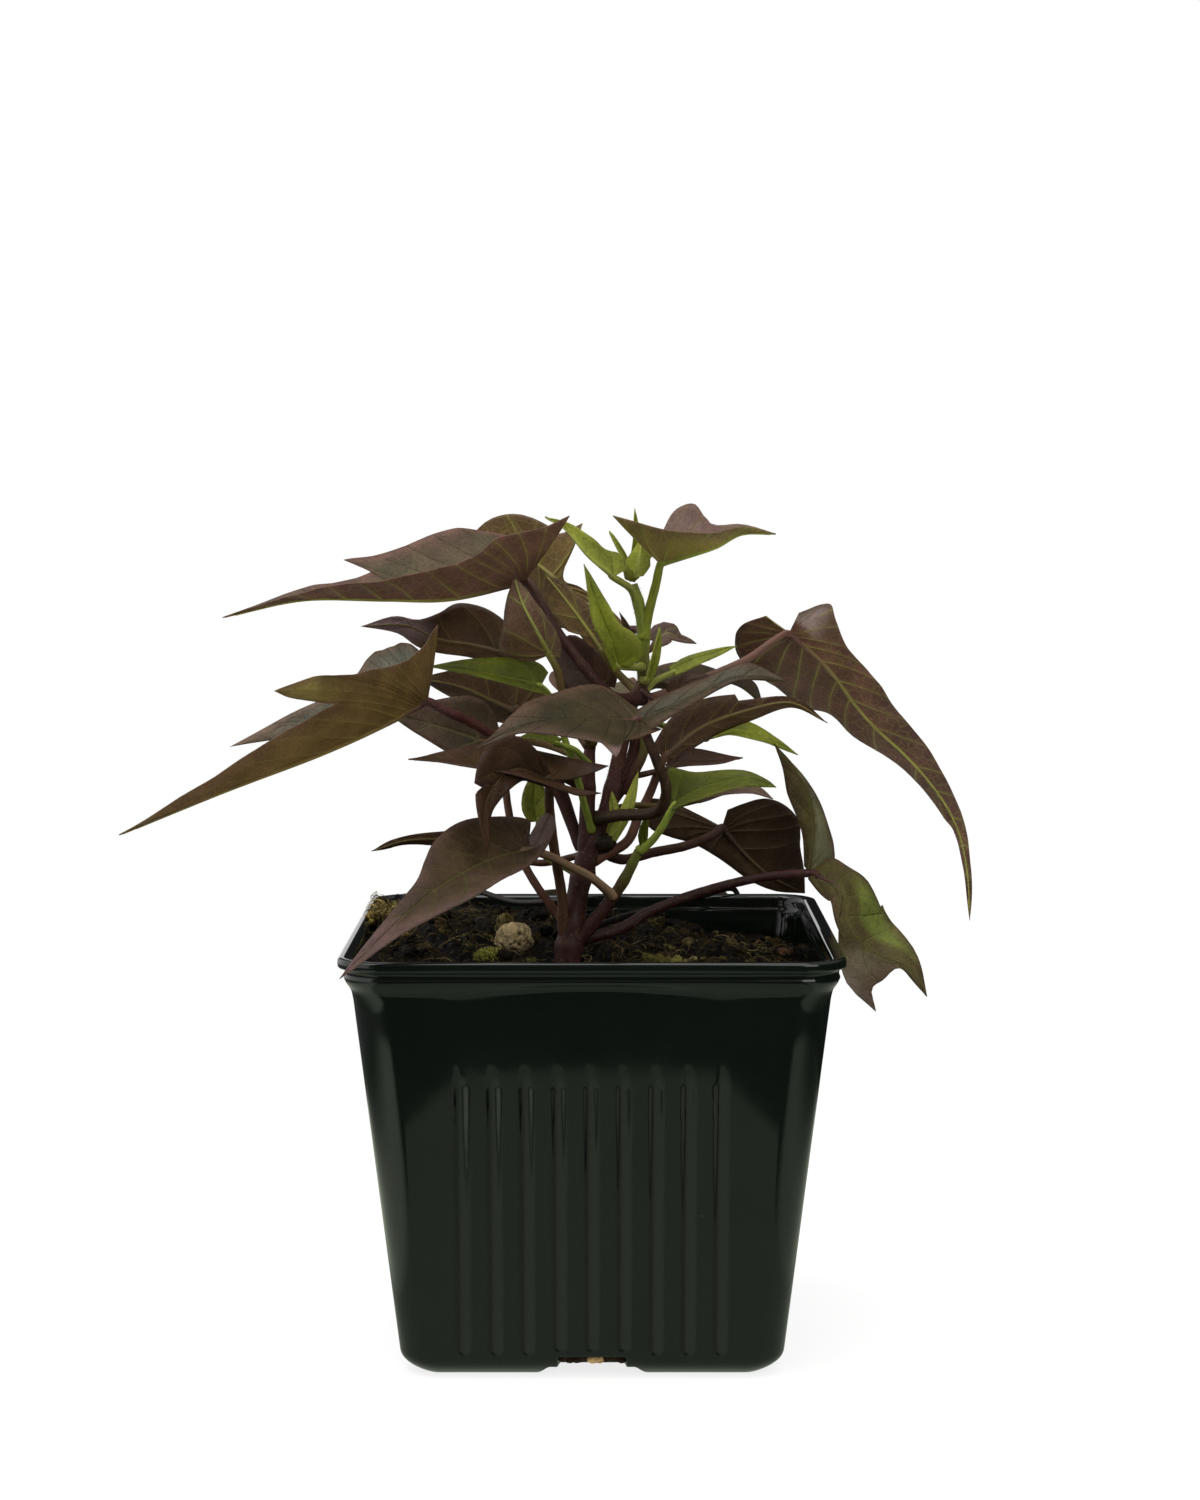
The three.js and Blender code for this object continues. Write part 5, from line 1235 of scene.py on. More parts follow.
            right=((-0.02, 2), (0.18, 3.4), (0.45, 4.4), (0.7, 2.4), (0.88, 1.1))),)),
    Leaf("leaf_right_small_dark", "dark", Dye.INK, petiole=((4.8, -0.8, 132), (8, 1, 133.4),
        (12, 0.5, 134.4)), girth=(0.8, 0.7), blades=(
        Blade(((18, 0.8, 136), (23, 0, 137.6), (30, 0, 137.8), (36, 0.6, 138.4)), (0, -0.3, 1),
            fold=(10, 10),
            left=((-0.04, 1.6), (0.14, 3.4), (0.36, 5.4), (0.62, 4), (0.84, 1.8)),
            right=((-0.04, 1.6), (0.14, 3), (0.4, 5.4), (0.66, 4.2), (0.86, 1.8))),)),
    Leaf("leaf_right_small_purple", "purple", Dye.ROSE, petiole=((3, -1.4, 126), (10, 0, 127),
        (18, -2, 127)), girth=(0.8, 0.7), blades=(
        Blade(((26, -3, 129), (31, -3, 131), (38, -3, 131), (43, -4, 129)), (0, -0.5, 1), fold=(10, 10),
            left=((-0.06, 2), (0.2, 3.2), (0.5, 3), (0.8, 1.4))),)),
    Leaf("leaf_tip_lime", "lime", Dye.SPRING, petiole=((12, -1, 154), (15, -1, 157)),
        girth=(0.8, 0.7), blades=(
        Blade(((19, -1, 159), (24, 1, 161.5), (30, 3, 163.5), (34.5, 4, 165)), (0, -0.6, 0.8), fold=(12, 12),
            left=((0, 1.6), (0.23, 2), (0.5, 1.6), (0.8, 0.9)),
            right=((0, 1.6), (0.23, 2.2), (0.5, 2), (0.8, 1))),)),
    Leaf("leaf_small_curled", "dark", Dye.INK, petiole=((11.5, -1, 155), (15, -7, 153)),
        girth=(0.8, 0.7), blades=(
        Blade(((18.5, -10, 154), (21.5, -12, 156.4), (24.5, -13, 157.8), (28.4, -13, 158.8)), (0, -0.6, 0.8),
            fold=(14, 14),
            left=((-0.1, 3), (0.12, 4.4), (0.3, 2.8), (0.5, 3.4), (0.8, 1.6)),
            right=((-0.1, 3), (0.2, 4.2), (0.5, 3.8), (0.8, 1.8))),)),
    Leaf("leaf_behind_shoot", "purple", Dye.EARTH, petiole=((12, -1.4, 158.6), (11.8, 1, 158.8),
        (11.2, 2.6, 160)), girth=(0.8, 0.7), blades=(
        Blade(((10.6, 3.2, 162.6), (9.2, 3.4, 166.9), (8, 3.2, 170), (6.4, 3, 173.3)), (0, -1, 0.2),
            fold=(12, 12),
            left=((-0.1, 1.6), (0.12, 3.4), (0.3, 3.2), (0.45, 1.2), (0.7, 0.8)),
            right=((-0.1, 1.2), (0.1, 2), (0.3, 2), (0.45, 0.9), (0.7, 0.7))),)),
    Leaf("leaf_small_round", "purple", Dye.ROSE, petiole=((12, -2, 164), (14, 2.6, 164.4)),
        girth=(0.8, 0.7), blades=(
        Blade(((15, 5, 166), (18, 6, 168), (21, 6, 166.5), (25, 6, 165.5)), (0, -0.6, 0.8), fold=(12, 12),
            left=((-0.1, 2.2), (0.16, 3.4), (0.38, 3.2), (0.6, 1.6), (0.84, 1.1)),
            right=((-0.1, 2.4), (0.16, 4), (0.4, 3.4), (0.6, 1.6), (0.84, 1))),)),
    Leaf("leaf_narrow_lime", "lime", Dye.SPRING, petiole=((12, -1.5, 157.5), (12.6, -4.6, 157)),
        girth=(0.8, 0.75), blades=(
        Blade(((13, -7, 157.4), (14, -8, 162), (15, -8, 166), (16, -8, 170)), (0.8, -0.6, 0), fold=(30, 30),
            left=((0.02, 1.2), (0.3, 1.9), (0.65, 1.5), (0.85, 0.8))),)),
    Leaf("leaf_centre_high", "purple", Dye.CHESTNUT, petiole=((11, -0.8, 154), (7.6, 2, 157), (4.8, 3, 160)),
        girth=(1, 0.9), blades=(
        Blade(((2.5, 3, 163.6), (-1.6, 4, 169.6), (-6.4, 6, 176), (-11.4, 8, 182.1)), (0, 1, 0.2),
            fold=(14, 14), stains=(Stain(0, -0.5, 1.1, "48331a", "48331a", 0.2),),
            left=((0.04, 1.8), (0.29, 3.5), (0.45, 3.9), (0.67, 2.9), (0.85, 2.1)),
            right=((0.05, 1), (0.2, 2.3), (0.36, 2.4, 0, 1), (0.41, 4.4), (0.58, 5.3), (0.79, 5.8),
                (0.9, 3.8))),)),
    Leaf("leaf_rear_middle", "purple", Dye.PLUM, petiole=((6.8, 0.2, 143), (6, 8, 142), (4, 18, 145)),
        girth=(1.2, 1), blades=(
        Blade(((2, 27, 150), (2, 41, 152), (3, 55, 148), (3, 69, 138)), (0, 0.1, 1), fold=(20, 20),
            left=((-0.16, 7), (-0.1, 12), (0.04, 14), (0.28, 12.4), (0.55, 7.4), (0.8, 2.8)),
            right=((-0.16, 5), (-0.1, 8), (0.06, 10), (0.3, 9), (0.56, 6.4), (0.8, 2.8))),)),
    Leaf("leaf_centre_dark", "dark", Dye.INK, petiole=((-1, 0, 134), (0, 6, 142), (2, 9, 149)),
        girth=(1.1, 0.9), blades=(
        Blade(((2.8, 9, 155.1), (-0.6, 10.5, 158.6), (-4.5, 12, 162.4), (-7.7, 13, 166.2)), (0, -1, 0.3),
            fold=(12, 12),
            left=((-0.04, 2.6), (0.2, 6.8), (0.52, 7.9), (0.7, 6.3), (0.9, 3.7)),
            right=((-0.14, 1.6), (-0.03, 4), (0.17, 5.6, 1.5), (0.35, 6.2), (0.47, 4.8), (0.66, 4.6),
                (0.93, 3))),)),
    Leaf("leaf_rear_right", "olive", Dye.OLIVE, petiole=((8, 0, 151), (12, 8, 154), (16, 17, 155)),
        girth=(1.2, 1), blades=(
        Blade(((21, 26, 153), (29, 34, 155), (37, 44, 153), (44, 56, 147)), (0.1, -0.2, 1), fold=(18, 18),
            left=((-0.2, 5), (-0.12, 8), (0.08, 9.6), (0.32, 8.6), (0.58, 5.6), (0.82, 2.4)),
            right=((-0.2, 5), (-0.12, 9), (0.08, 11), (0.32, 9.6), (0.58, 6), (0.82, 2.4))),)),
    Leaf("leaf_rear_low", "olive", Dye.PAINTED_SHADE, petiole=((-2, -1, 100), (-3, 18, 100), (-3, 40, 100.6),
        (-3, 56, 99.8)), girth=(1.0, 0.8), blades=(
        Blade(((-3, 62.5, 92), (-5, 67, 81), (-9, 70, 68), (-10, 68, 54)), (0, 1, 0.3), fold=(9, 7),
            left=((-0.16, 7), (-0.08, 12), (0.08, 14.4), (0.24, 14), (0.34, 8.6), (0.5, 7.2), (0.76, 3.2)),
            right=((-0.18, 7.4), (-0.08, 12.4), (0.14, 13.4), (0.38, 11), (0.6, 6.6), (0.84, 2.4))),)),
    Leaf("leaf_rear_low_right", "purple", Dye.PAINTED_SHADE, petiole=((-2, -2, 97), (9, 22, 97.4), (24, 44, 97.8),
        (36, 56, 99.4)), girth=(0.8, 0.7), blades=(
        Blade(((38, 62.5, 93), (37, 68, 83), (39, 71, 71), (44, 69, 59)), (0.3, 1, 0.4), fold=(11, 8),
            left=((-0.14, 5), (-0.06, 9.4), (0.12, 10.6), (0.34, 9), (0.62, 5), (0.84, 2)),
            right=((-0.12, 5.6), (-0.04, 9.2), (0.14, 11.6), (0.3, 11), (0.42, 6.8), (0.6, 4.8),
                (0.84, 1.8))),)),
    Leaf("leaf_rear_low_left", "purple", Dye.PAINTED_SHADE, petiole=((-2, -1, 105), (-9, 14, 102), (-20, 34, 99),
        (-33, 56, 99.4)), girth=(0.8, 0.7), blades=(
        Blade(((-35, 62.5, 93), (-37, 67, 84), (-38, 71, 72), (-43, 72, 60)), (-0.4, 1, 0.2), fold=(7, 12),
            left=((-0.12, 5), (-0.05, 8.6), (0.1, 10.4), (0.4, 9.4), (0.64, 5.6), (0.84, 2)),
            right=((-0.16, 6.4), (-0.07, 10), (0.1, 10.8), (0.36, 8.4), (0.62, 5), (0.84, 2))),)),
    Leaf("shoot_tip", "lime", Dye.SPRING, bud=((9.4, -3.4, 183.4), (2.2, 2, 2.8)), blades=(
        Blade(((9.6, -4, 184), (10.4, -4, 191), (10, -3.6, 198)), (0, -1, 0.2),
            left=((0.05, 1), (0.4, 0.9), (0.75, 0.6))),
        Blade(((10, -5, 181.8), (11, -7.4, 186), (11.6, -7, 191)), (0, 0.9, 0.3), fold=(30, 30),
            left=((0, 2.4), (0.3, 3.6), (0.7, 2.2)),
            right=((0, 2.4), (0.3, 3.4), (0.7, 2))),
        Blade(((8.6, -4, 184), (6, -5, 188.6), (4, -5, 192.6)), (0.5, 0.2, 0.8), fold=(30, 30),
            left=((0, 1), (0.4, 1.4), (0.8, 0.9))),
        Blade(((10.4, -2.4, 184), (13, 0, 189), (12.4, 1.6, 194)), (0, -0.9, 0.3), fold=(24, 24),
            left=((0, 1.4), (0.4, 2.4), (0.8, 1.6))))),
    # The axil bud's near-black colour is painted shade, where it sits between the stems
    Leaf("axil_buds", "lime", Dye.SPRING, bud=((2.6, -3.6, 118.5), (3, 2, 2.2)), bud_code="241b11", blades=(
        Blade(((3.6, -3.6, 118.5), (5, -3.4, 125), (4.6, -3.6, 131)), (0, 1, 0.2),
            left=((0.05, 1.2), (0.4, 1.7), (0.75, 1))),
        Blade(((4.4, -4.2, 118.5), (8.4, -5, 127), (11, -5, 136)), (0, 1, 0.2),
            left=((0.05, 1.2), (0.4, 1.7), (0.75, 1))))),
)


# -------- pot

@dataclass(frozen=True)
class PotRow:
    """One row of the pot's shell: a rounded square at a height, on the outer wall or not.

    sway is how far the row rises in the middle of each side.
    """

    z: float
    half: float
    corner: float
    outer: bool = False
    sway: float = 0.0


@dataclass
class Pot:
    """Square pot: a tapered wall with rounded corners, slim upright grooves, a beaded lip and corner feet."""

    rim_half: float = 57.15
    top_half: float = 54.3
    base_half: float = 43.8
    rim_corner: float = 8.0
    base_corner: float = 9.0
    wall_top: float = 93.0
    floor: float = 4.6
    foot_notch: float = 2.4
    notch_half: float = 9.6
    groove_count: int = 9
    groove_pitch: float = 7.3
    groove_half: float = 1.75
    groove_depth: float = 0.32
    groove_ends: tuple[float, float] = (7.2, 68.8)
    corner_steps: int = 26
    side_steps: int = 200
    slot_half: float = 7.6
    slot_top: float = 5.2
    slot_depth: float = 3.6
    thick: float = 1.3
    # The step under the lip: height, half width and how far it rises in the middle of a side.
    lip_step: tuple[Point, ...] = (
        (89.6, 53.95, 1.4), (90.4, 54.15, 1.5), (91.0, 54.45, 1.3), (91.6, 54.85, 0.9), (92.2, 55.25, 0.5),
        (92.8, 55.55, 0.2))
    # The rolled lip, over to its inner edge: height and half width.
    lip_bead: tuple[tuple[float, float], ...] = (
        (93.3, 55.75), (93.6, 55.75), (93.9, 55.55), (94.3, 55.5), (94.9, 55.55), (95.3, 55.8), (95.6, 56.4),
        (95.75, 56.9), (96.1, 57.12), (96.9, 57.15), (97.5, 57.05), (97.85, 56.8), (98, 56.3), (97.95, 55.6),
        (97.9, 54.9), (97.7, 54.3), (97.2, 53.9), (96.2, 53.75), (95.2, 53.65), (94.6, 53.4), (94.2, 53),
        (93.6, 52.9), (92, 52.75), (90.5, 52.6))

    def ring(self, half: float, corner: float) -> tuple[Array, Array, Array]:
        """Rounded square, anticlockwise from above, with its outward direction at each point.

        Args:
            half: Half its width.
            corner: Radius of its corners.

        Returns:
            x, y and the outward unit vectors.
        """
        turn = np.linspace(0, np.pi / 4, self.corner_steps // 2 + 1)[1:]
        flat = np.linspace(-1, 1, self.side_steps + 1)
        angle = np.concatenate([-turn[::-1], np.zeros(len(flat)), turn[:-1]])
        middle = np.concatenate([np.full(len(turn), -1.0), flat, np.full(len(turn) - 1, 1.0)])
        x = half - corner + corner * np.cos(angle)
        y = middle * (half - corner) + corner * np.sin(angle)
        quarter = np.arange(4)[:, None] * np.pi / 2
        c, s = np.round(np.cos(quarter)), np.round(np.sin(quarter))
        turned = (angle + quarter).ravel()
        return (c * x - s * y).ravel(), (s * x + c * y).ravel(), joined(np.cos(turned), np.sin(turned))

    def wall(self, z: float) -> tuple[float, float]:
        """Half width and corner radius of the wall's outer face at height z."""
        t = z / self.wall_top
        return lerp(self.base_half, self.top_half, t), lerp(self.base_corner, self.rim_corner, t)

    def foot_inset(self, z: Array) -> Array:
        """How far the rounded lower edge lies inside the wall's line at height z: 5 (1 - z / 5)^2.2."""
        return 5 * np.clip(1 - np.asarray(z) / 5, 0, 1) ** 2.2

    def lifted(self, x: Array, y: Array) -> Array:
        """Height of the underside: raised between the corner feet, with sloped ends."""
        near = np.minimum(np.abs(x), np.abs(y))
        return self.foot_notch * smoothstep(self.notch_half + 3.2, self.notch_half, near)

    def rows(self) -> list[PotRow]:
        """Rows of the shell from the middle of the underside, up the wall, over the lip, to the floor.

        Returns:
            The rows in that order.
        """
        heights = np.concatenate([
            [0, 0.15, 0.4, 0.8, 1.3, 1.9], np.linspace(2.5, 9, 16), np.linspace(10, 60, 12),
            np.linspace(61, 70, 16), np.linspace(72, 88, 7)])
        outer = []
        for z in heights:
            half, corner = self.wall(z)
            inset = float(self.foot_inset(z))
            outer.append(PotRow(z, half - inset, corner - inset, True))
        foot = outer[0]
        below = [PotRow(0, foot.half * s, foot.corner * s) for s in np.linspace(0.06, 1, 9)[:-1]]
        lip = [PotRow(z, half, 10 - 0.8 * (self.rim_half - half), sway=sum(sway))
               for z, half, *sway in (*self.lip_step, *self.lip_bead)]
        inner = []
        for z in (84, 76, 60, 40, 20, 8):
            half, corner = self.wall(z)
            inner.append(PotRow(z, half - self.thick, corner - self.thick))
        half, corner = self.wall(self.floor)
        half, corner = half - 2 * self.thick, corner - 2 * self.thick
        inner += [PotRow(self.floor, half * s, corner * s) for s in np.linspace(1, 0.05, 6)]
        return [*below, *outer, *lip, *inner]

    def row_points(self, row: PotRow) -> tuple[Array, Array]:
        """Points of one row of the shell.

        A groove is pressed in where the distance to its middle line is less than its half width: steeply on
        the left, and in a wide slope on the right. Between the feet the lower edge is raised by (1 - z / 9)
        of the notch, and a slot opens over it.

        Args:
            row: The row.

        Returns:
            Its points in mm, and the shares of a groove's painted highlight on its slope and of the painted
            shade at its edge.
        """
        x, y, out = self.ring(row.half, row.corner)
        across = np.where(np.abs(out[:, 0]) > np.abs(out[:, 1]), y, x)
        height = row.z + row.sway * smoothstep(34, 2, np.abs(across))
        push = np.zeros(len(x))
        groove_painted_light = np.zeros((len(x), 3))
        if row.z < 9 and (row.outer or row.z == 0):
            height = row.z + self.lifted(x, y) * (1 - row.z / 9)
        if row.outer:
            flat = np.abs(out).max(-1) > 0.999
            most = self.groove_count // 2
            nearest = np.clip(np.round(across / self.groove_pitch), -most, most) * self.groove_pitch
            past = max(row.z - self.groove_ends[1], self.groove_ends[0] - row.z, 0)
            beside = across - nearest
            away = np.hypot(beside, past)
            shelf = lerp(self.groove_half - 0.5, 0.2, smoothstep(-0.6, 0.6, beside))
            ramp = np.clip((self.groove_half - away) / (self.groove_half - shelf), 0, 1)
            groove = ramp * ramp * (3 - 2 * ramp)
            inside = smoothstep(self.groove_half + 0.1, self.groove_half - 0.3, away) * flat
            # Painted highlight on the groove's wide right slope and painted shade along its left edge, as
            # light from the left would fall
            groove_painted_light[:, 0] = inside * smoothstep(-0.9, -0.3, beside)
            groove_painted_light[:, 1] = smoothstep(0.55, 0.2, np.abs(beside + 1.35)) * flat * (past < 0.6)
            slot = smoothstep(self.slot_half + 0.3, self.slot_half - 0.2, np.abs(across))
            slot = slot * smoothstep(self.slot_top, self.slot_top - 0.2, height)
            push = self.foot_inset(row.z) - self.foot_inset(height)
            push = push - np.where(flat, self.groove_depth * groove + self.slot_depth * slot, 0)
        return joined(x + out[:, 0] * push, y + out[:, 1] * push, height), groove_painted_light

    def build(self, plastic: Material) -> None:
        """Makes the pot's shell.

        Args:
            plastic: Its finish.
        """
        grid, groove_painted_light = (np.array(part) for part in zip(*(self.row_points(row) for row in self.rows())))
        ends = [[0, 0, self.foot_notch], [0, 0, self.floor]]
        shape = Shape()
        shape.add(np.concatenate([grid.reshape(-1, 3), ends]), tube_faces(*grid.shape[:2]),
                  groove=np.concatenate([groove_painted_light.reshape(-1, 3), np.zeros((2, 3))]))
        shape.place("pot_moulded", [plastic], "pot", "pot")


# -------- soil and what lies on it

@dataclass
class Soil:
    """Peat in the pot: a lumpy top with crumbs, fibres and grit on it, and roots at the drain openings."""

    level: float = 91.0
    bottom: float = 5.0
    half: float = 52.5
    corner: float = 6.7
    cells: int = 270
    crumbs: int = 620
    clods: int = 70
    heap_clods: int = 26
    fibres: int = 1400
    heap_fibres: int = 200
    seed: int = 5
    crumb_codes: tuple[str, ...] = ("060504", "0e0b07", "18120a", "332915", "0b0905", "4e4226")
    crumb_shares: tuple[float, ...] = (0.26, 0.26, 0.22, 0.12, 0.08, 0.06)
    clod_codes: tuple[str, ...] = ("3e3419", "4c4422", "2e2412", "5a5230", "40301a", "26200e")
    fibre_codes: tuple[str, ...] = (
        "1c150b", "352a16", "4e4022", "5c4e2c", "2a2110", "746742", "2c2a18", "423e26")
    root_code: str = "b89a68"
    lump_code: str = "2c2116"
    # Clods in places of their own: x, y, size and colour.
    set_clods: tuple[tuple[float, float, float, str], ...] = (
        (14.5, -7.5, 2.5, "5a5324"), (19.5, -5.5, 2.3, "6e6736"), (4.7, -9, 1.9, "544b2a"),
        (-10, -15, 1.8, "544a30"), (-14.6, -18.5, 1.7, "565626"), (-33, 3.8, 1.1, "9c8d68"),
        (24, 4, 1.6, "94865a"), (27, 6, 1.1, "7a6e46"), (-2.4, -8, 1.3, "8c7d5a"), (-1.2, -7.4, 1, "6a5c3e"),
        (-38.5, -10, 1.6, "4c3f26"), (37, 16, 1.7, "433521"), (-36, -18, 1.7, "463a24"),
        (-48, -3, 1.7, "40331e"),
        (-50, 6, 2.0, "4e4026"), (-50, 16, 1.9, "342817"), (-49, 24, 2.2, "5c4c2c"), (-50, 32, 2.0, "4a3c24"),
        (-48, 40, 2.2, "403221"), (44, 26, 1.8, "4c3424"), (47, 14, 2.0, "4e3828"), (49, 2, 1.8, "402c20"),
        (41, 34, 1.4, "5c4530"), (9, -14, 1.6, "4a3f24"), (-5, 2, 1.8, "2e2414"), (30, -12, 1.5, "3f331d"),
        (-26, 14, 2.0, "3a2e1a"), (16, 12, 1.7, "35291a"))

    def height(self, x: Array, y: Array) -> Array:
        """Height of the part's soil: a slope with waves the size of a fingertip.

        Args:
            x: Places across, in mm.
            y: Places along, in mm.

        Returns:
            Heights in mm.
        """
        waves = np.sin(0.19 * x + 0.6) * np.cos(0.17 * y - 0.4) + 0.6 * np.sin(0.37 * x - 0.29 * y + 1.2)
        waves = waves + 0.4 * np.sin(0.61 * y + 0.47 * x)
        return self.level + 0.05 * y - 0.06 * x + 0.9 * waves

    def top(self, x: Array, y: Array) -> Array:
        """Height of the fine top: the part's soil with clods of noise, a hollow, a bank and a dip.

        Args:
            x: Places across, in mm.
            y: Places along, in mm.

        Returns:
            Heights in mm.
        """
        rough = 1.3 * rugged(x, y, 5.5, 3, 4) + 0.9 * np.abs(rugged(x, y, 2.2, 8, 3))
        hollow = 3.6 * smoothstep(16, 34, x) * smoothstep(18, 40, y)
        bank = 1.6 * smoothstep(-30, -46, x) * smoothstep(0, 26, y)
        dip = 2.6 * np.exp(-((x + 4.5) ** 2 + 0.7 * (y + 12) ** 2) / 60)
        return self.height(x, y) + rough - 0.4 - hollow + bank - dip

    def rest(self, x: Array, y: Array) -> Array:
        """Height at which loose stuff lies: the top, or the heap that leans on the rim at the left rear."""
        heap = 98.3 - 1.1 * np.maximum(x + 52.5, 0)
        return np.maximum(self.top(x, y), heap * smoothstep(4, 11, y) * smoothstep(43, 36, y))

    def reach(self, a: Array, b: Array) -> Array:
        """How far a square of half width 1 is drawn in near its edge, so that its border is the pot's inside.

        Along (c, s) the rounded square lies at (h - r)(c + s) + sqrt(r^2 - (h - r)^2 (c - s)^2), and at h / c
        beside its flat side.

        Args:
            a: Places across the square, from -1 to 1.
            b: Places along it.

        Returns:
            What both are taken times.
        """
        edge, beside = np.maximum(np.abs(a), np.abs(b)), np.minimum(np.abs(a), np.abs(b))
        size = np.maximum(np.hypot(edge, beside), 1e-9)
        c, s = edge / size, beside / size
        straight = self.half - self.corner
        bent = straight * (c + s) + np.sqrt(np.maximum(self.corner ** 2 - (straight * (c - s)) ** 2, 0))
        out = np.where(self.half * s / c > straight, bent, self.half / c)
        return lerp(1.0, out * c / self.half, edge ** 8)

    def build(self, peat: Material) -> None:
        """Makes the body of soil: the fine top over a skirt and a flat bottom.

        Args:
            peat: Its finish.
        """
        line = np.linspace(-1, 1, self.cells + 1)
        a, b = np.meshgrid(line, line, indexing="ij")
        reach = self.half * self.reach(a, b)
        x, y = a * reach, b * reach
        n, i = len(line), np.arange(self.cells)
        border = np.concatenate([i * n, (n - 1) * n + i, i[::-1] * n + 2 * n - 1, i[::-1] + 1])
        top = joined(x, y, self.top(x, y)).reshape(-1, 3)
        foot = joined(*(top[border] * 0.8).T[:2], self.bottom)
        i = np.arange(len(border))
        j = (i + 1) % len(border)
        start = n * n
        shape = Shape()
        shape.add(np.concatenate([top, foot, [[0, 0, self.bottom]]]), [
            grid_quads(n, n, flip=True),
            joined(start + i, start + j, border[j], border[i]),
            joined(start + i, start + j, start + len(border)),
        ])
        shape.place("soil_peat", [peat], "soil", "soil")

    def scatter(self, count: int, rng: np.random.Generator, reach: float) -> tuple[Array, Array]:
        """Random places on the soil, up to reach mm out from its middle."""
        return rng.uniform(-reach, reach, count), rng.uniform(-reach, reach, count)

    def clod_places(self, rng: np.random.Generator) -> list[tuple[float, float, float, str]]:
        """Clods: the set ones, others anywhere, and the heap's at the left rim.

        Args:
            rng: Source of the random draws.

        Returns:
            x, y, size and colour of each.
        """
        clods = list(self.set_clods)
        for k in range(self.clods):
            x, y = self.scatter(2, rng, 48)[0]
            clods.append((x, y - abs(x) * 0.1, rng.uniform(0.9, 2.1), self.clod_codes[k % 6]))
        for k in range(self.heap_clods):
            x, y = rng.uniform(-54.6, -46.5), rng.uniform(9, 38)
            clods.append((x, y, rng.uniform(0.8, 1.6), shaded(self.clod_codes[k % 4], 1.9)))
        return clods

    def build_crumbs(self, material: Material) -> None:
        """Scatters crumbs: small balls roughened and squashed, sizes by a steep power law; nine make a clod.

        Args:
            material: Its finish, tinted by a colour a crumb.
        """
        rng = np.random.default_rng(self.seed)
        x, y = self.scatter(self.crumbs, rng, 50.5)
        size = 0.35 + 1.5 * rng.random(self.crumbs) ** 4
        tone = rng.choice(len(self.crumb_codes), self.crumbs, p=self.crumb_shares)
        places = [(px, py, s, self.crumb_codes[c]) for px, py, s, c in zip(x, y, size, tone)]
        for px, py, s, code in self.clod_places(rng):
            for _ in range(9):
                dx, dy = rng.normal(0, 0.42 * s, 2)
                grey = rng.uniform(0.55, 1.1)
                places.append((px + dx, py + dy, s * rng.uniform(0.3, 0.55), shaded(code, grey)))
        balls = (ball(1), ball(2))
        shape = Shape()
        for px, py, s, code in places:
            points, faces = balls[s > 1.0]
            wave = np.sin(points @ rng.uniform(-6, 6, (3, 3)) + rng.uniform(0, 6, 3))
            wave = wave.sum(-1, keepdims=True)
            form = points * (1 + 0.2 * wave) * rng.uniform(0.6, 1.3, 3) * s
            z = float(self.rest(np.array(px), np.array(py))) + 0.25 * s
            shape.add(form + (px, py, z), [faces], hue=linear(code))
        shape.place("soil_crumbs", [material], "soil")

    def build_fibres(self, material: Material) -> None:
        """Scatters peat fibres: thin strands bent to an arc that lie on the soil, the first ones on the heap.

        Args:
            material: Its finish, tinted by a colour a strand.
        """
        rng = np.random.default_rng(self.seed + 1)
        shape = Shape()
        x, y = self.scatter(self.fibres, rng, 49)
        step = np.linspace(-0.5, 0.5, 7)
        for k, (px, py) in enumerate(zip(x, y)):
            on_heap = k < self.heap_fibres
            if on_heap:
                px, py = -50.5 + 0.09 * px, 23 + 0.32 * py
            long = rng.uniform(2, 7) if k % 9 else rng.uniform(7, 13)
            turn = rng.uniform(0, 2 * np.pi)
            angle = turn + rng.uniform(-2.4, 2.4) * step
            px = np.clip(px + long * step * np.cos(angle), -56 if on_heap else -50, 50)
            py = np.clip(py + long * step * np.sin(angle), -50, 50)
            rise = rng.uniform(0, 1.3) * (1.8 if on_heap else 1)
            pz = self.rest(px, py) + 0.25 + rise * (1 - 4 * step ** 2)
            thick = rng.uniform(0.05, 0.13)
            rings, _, _ = rings_along(joined(px, py, pz), np.array([thick * 0.5, thick, thick * 0.4]), 4, 8)
            code = shaded(self.fibre_codes[rng.integers(len(self.fibre_codes))], 1.6 if on_heap else 1.0)
            shape.add(close_tube(rings), tube_faces(9, 4), hue=linear(code))
        shape.place("soil_fibres", [material], "soil")

    def build_roots(self, material: Material) -> None:
        """Makes the pale root ends and peat that show in the four drain openings.

        Args:
            material: Its finish, tinted by a colour a lump.
        """
        rng = np.random.default_rng(self.seed + 2)
        points, faces = ball(2)
        shape = Shape()
        for side in range(4):
            c, s = round(math.cos(side * np.pi / 2)), round(math.sin(side * np.pi / 2))
            for k in range(9):
                along = -6.6 + 1.65 * k + rng.uniform(-0.4, 0.4)
                pale = k in (4, 5)
                centre = np.array([along, -41.2 - (0.9 if pale else 0), 4.1 + rng.uniform(-0.25, 0.15)])
                wave = np.sin(points @ rng.uniform(-3, 3, (3, 3))).sum(-1, keepdims=True)
                x, y, z = (points * (1 + 0.12 * wave) * (1.25, 0.8, 0.85) + centre).T
                hue = linear(self.root_code if pale else self.lump_code)
                shape.add(joined(c * x - s * y, s * x + c * y, z), [faces], hue=hue)
        shape.place("drain_roots", [material], "soil")


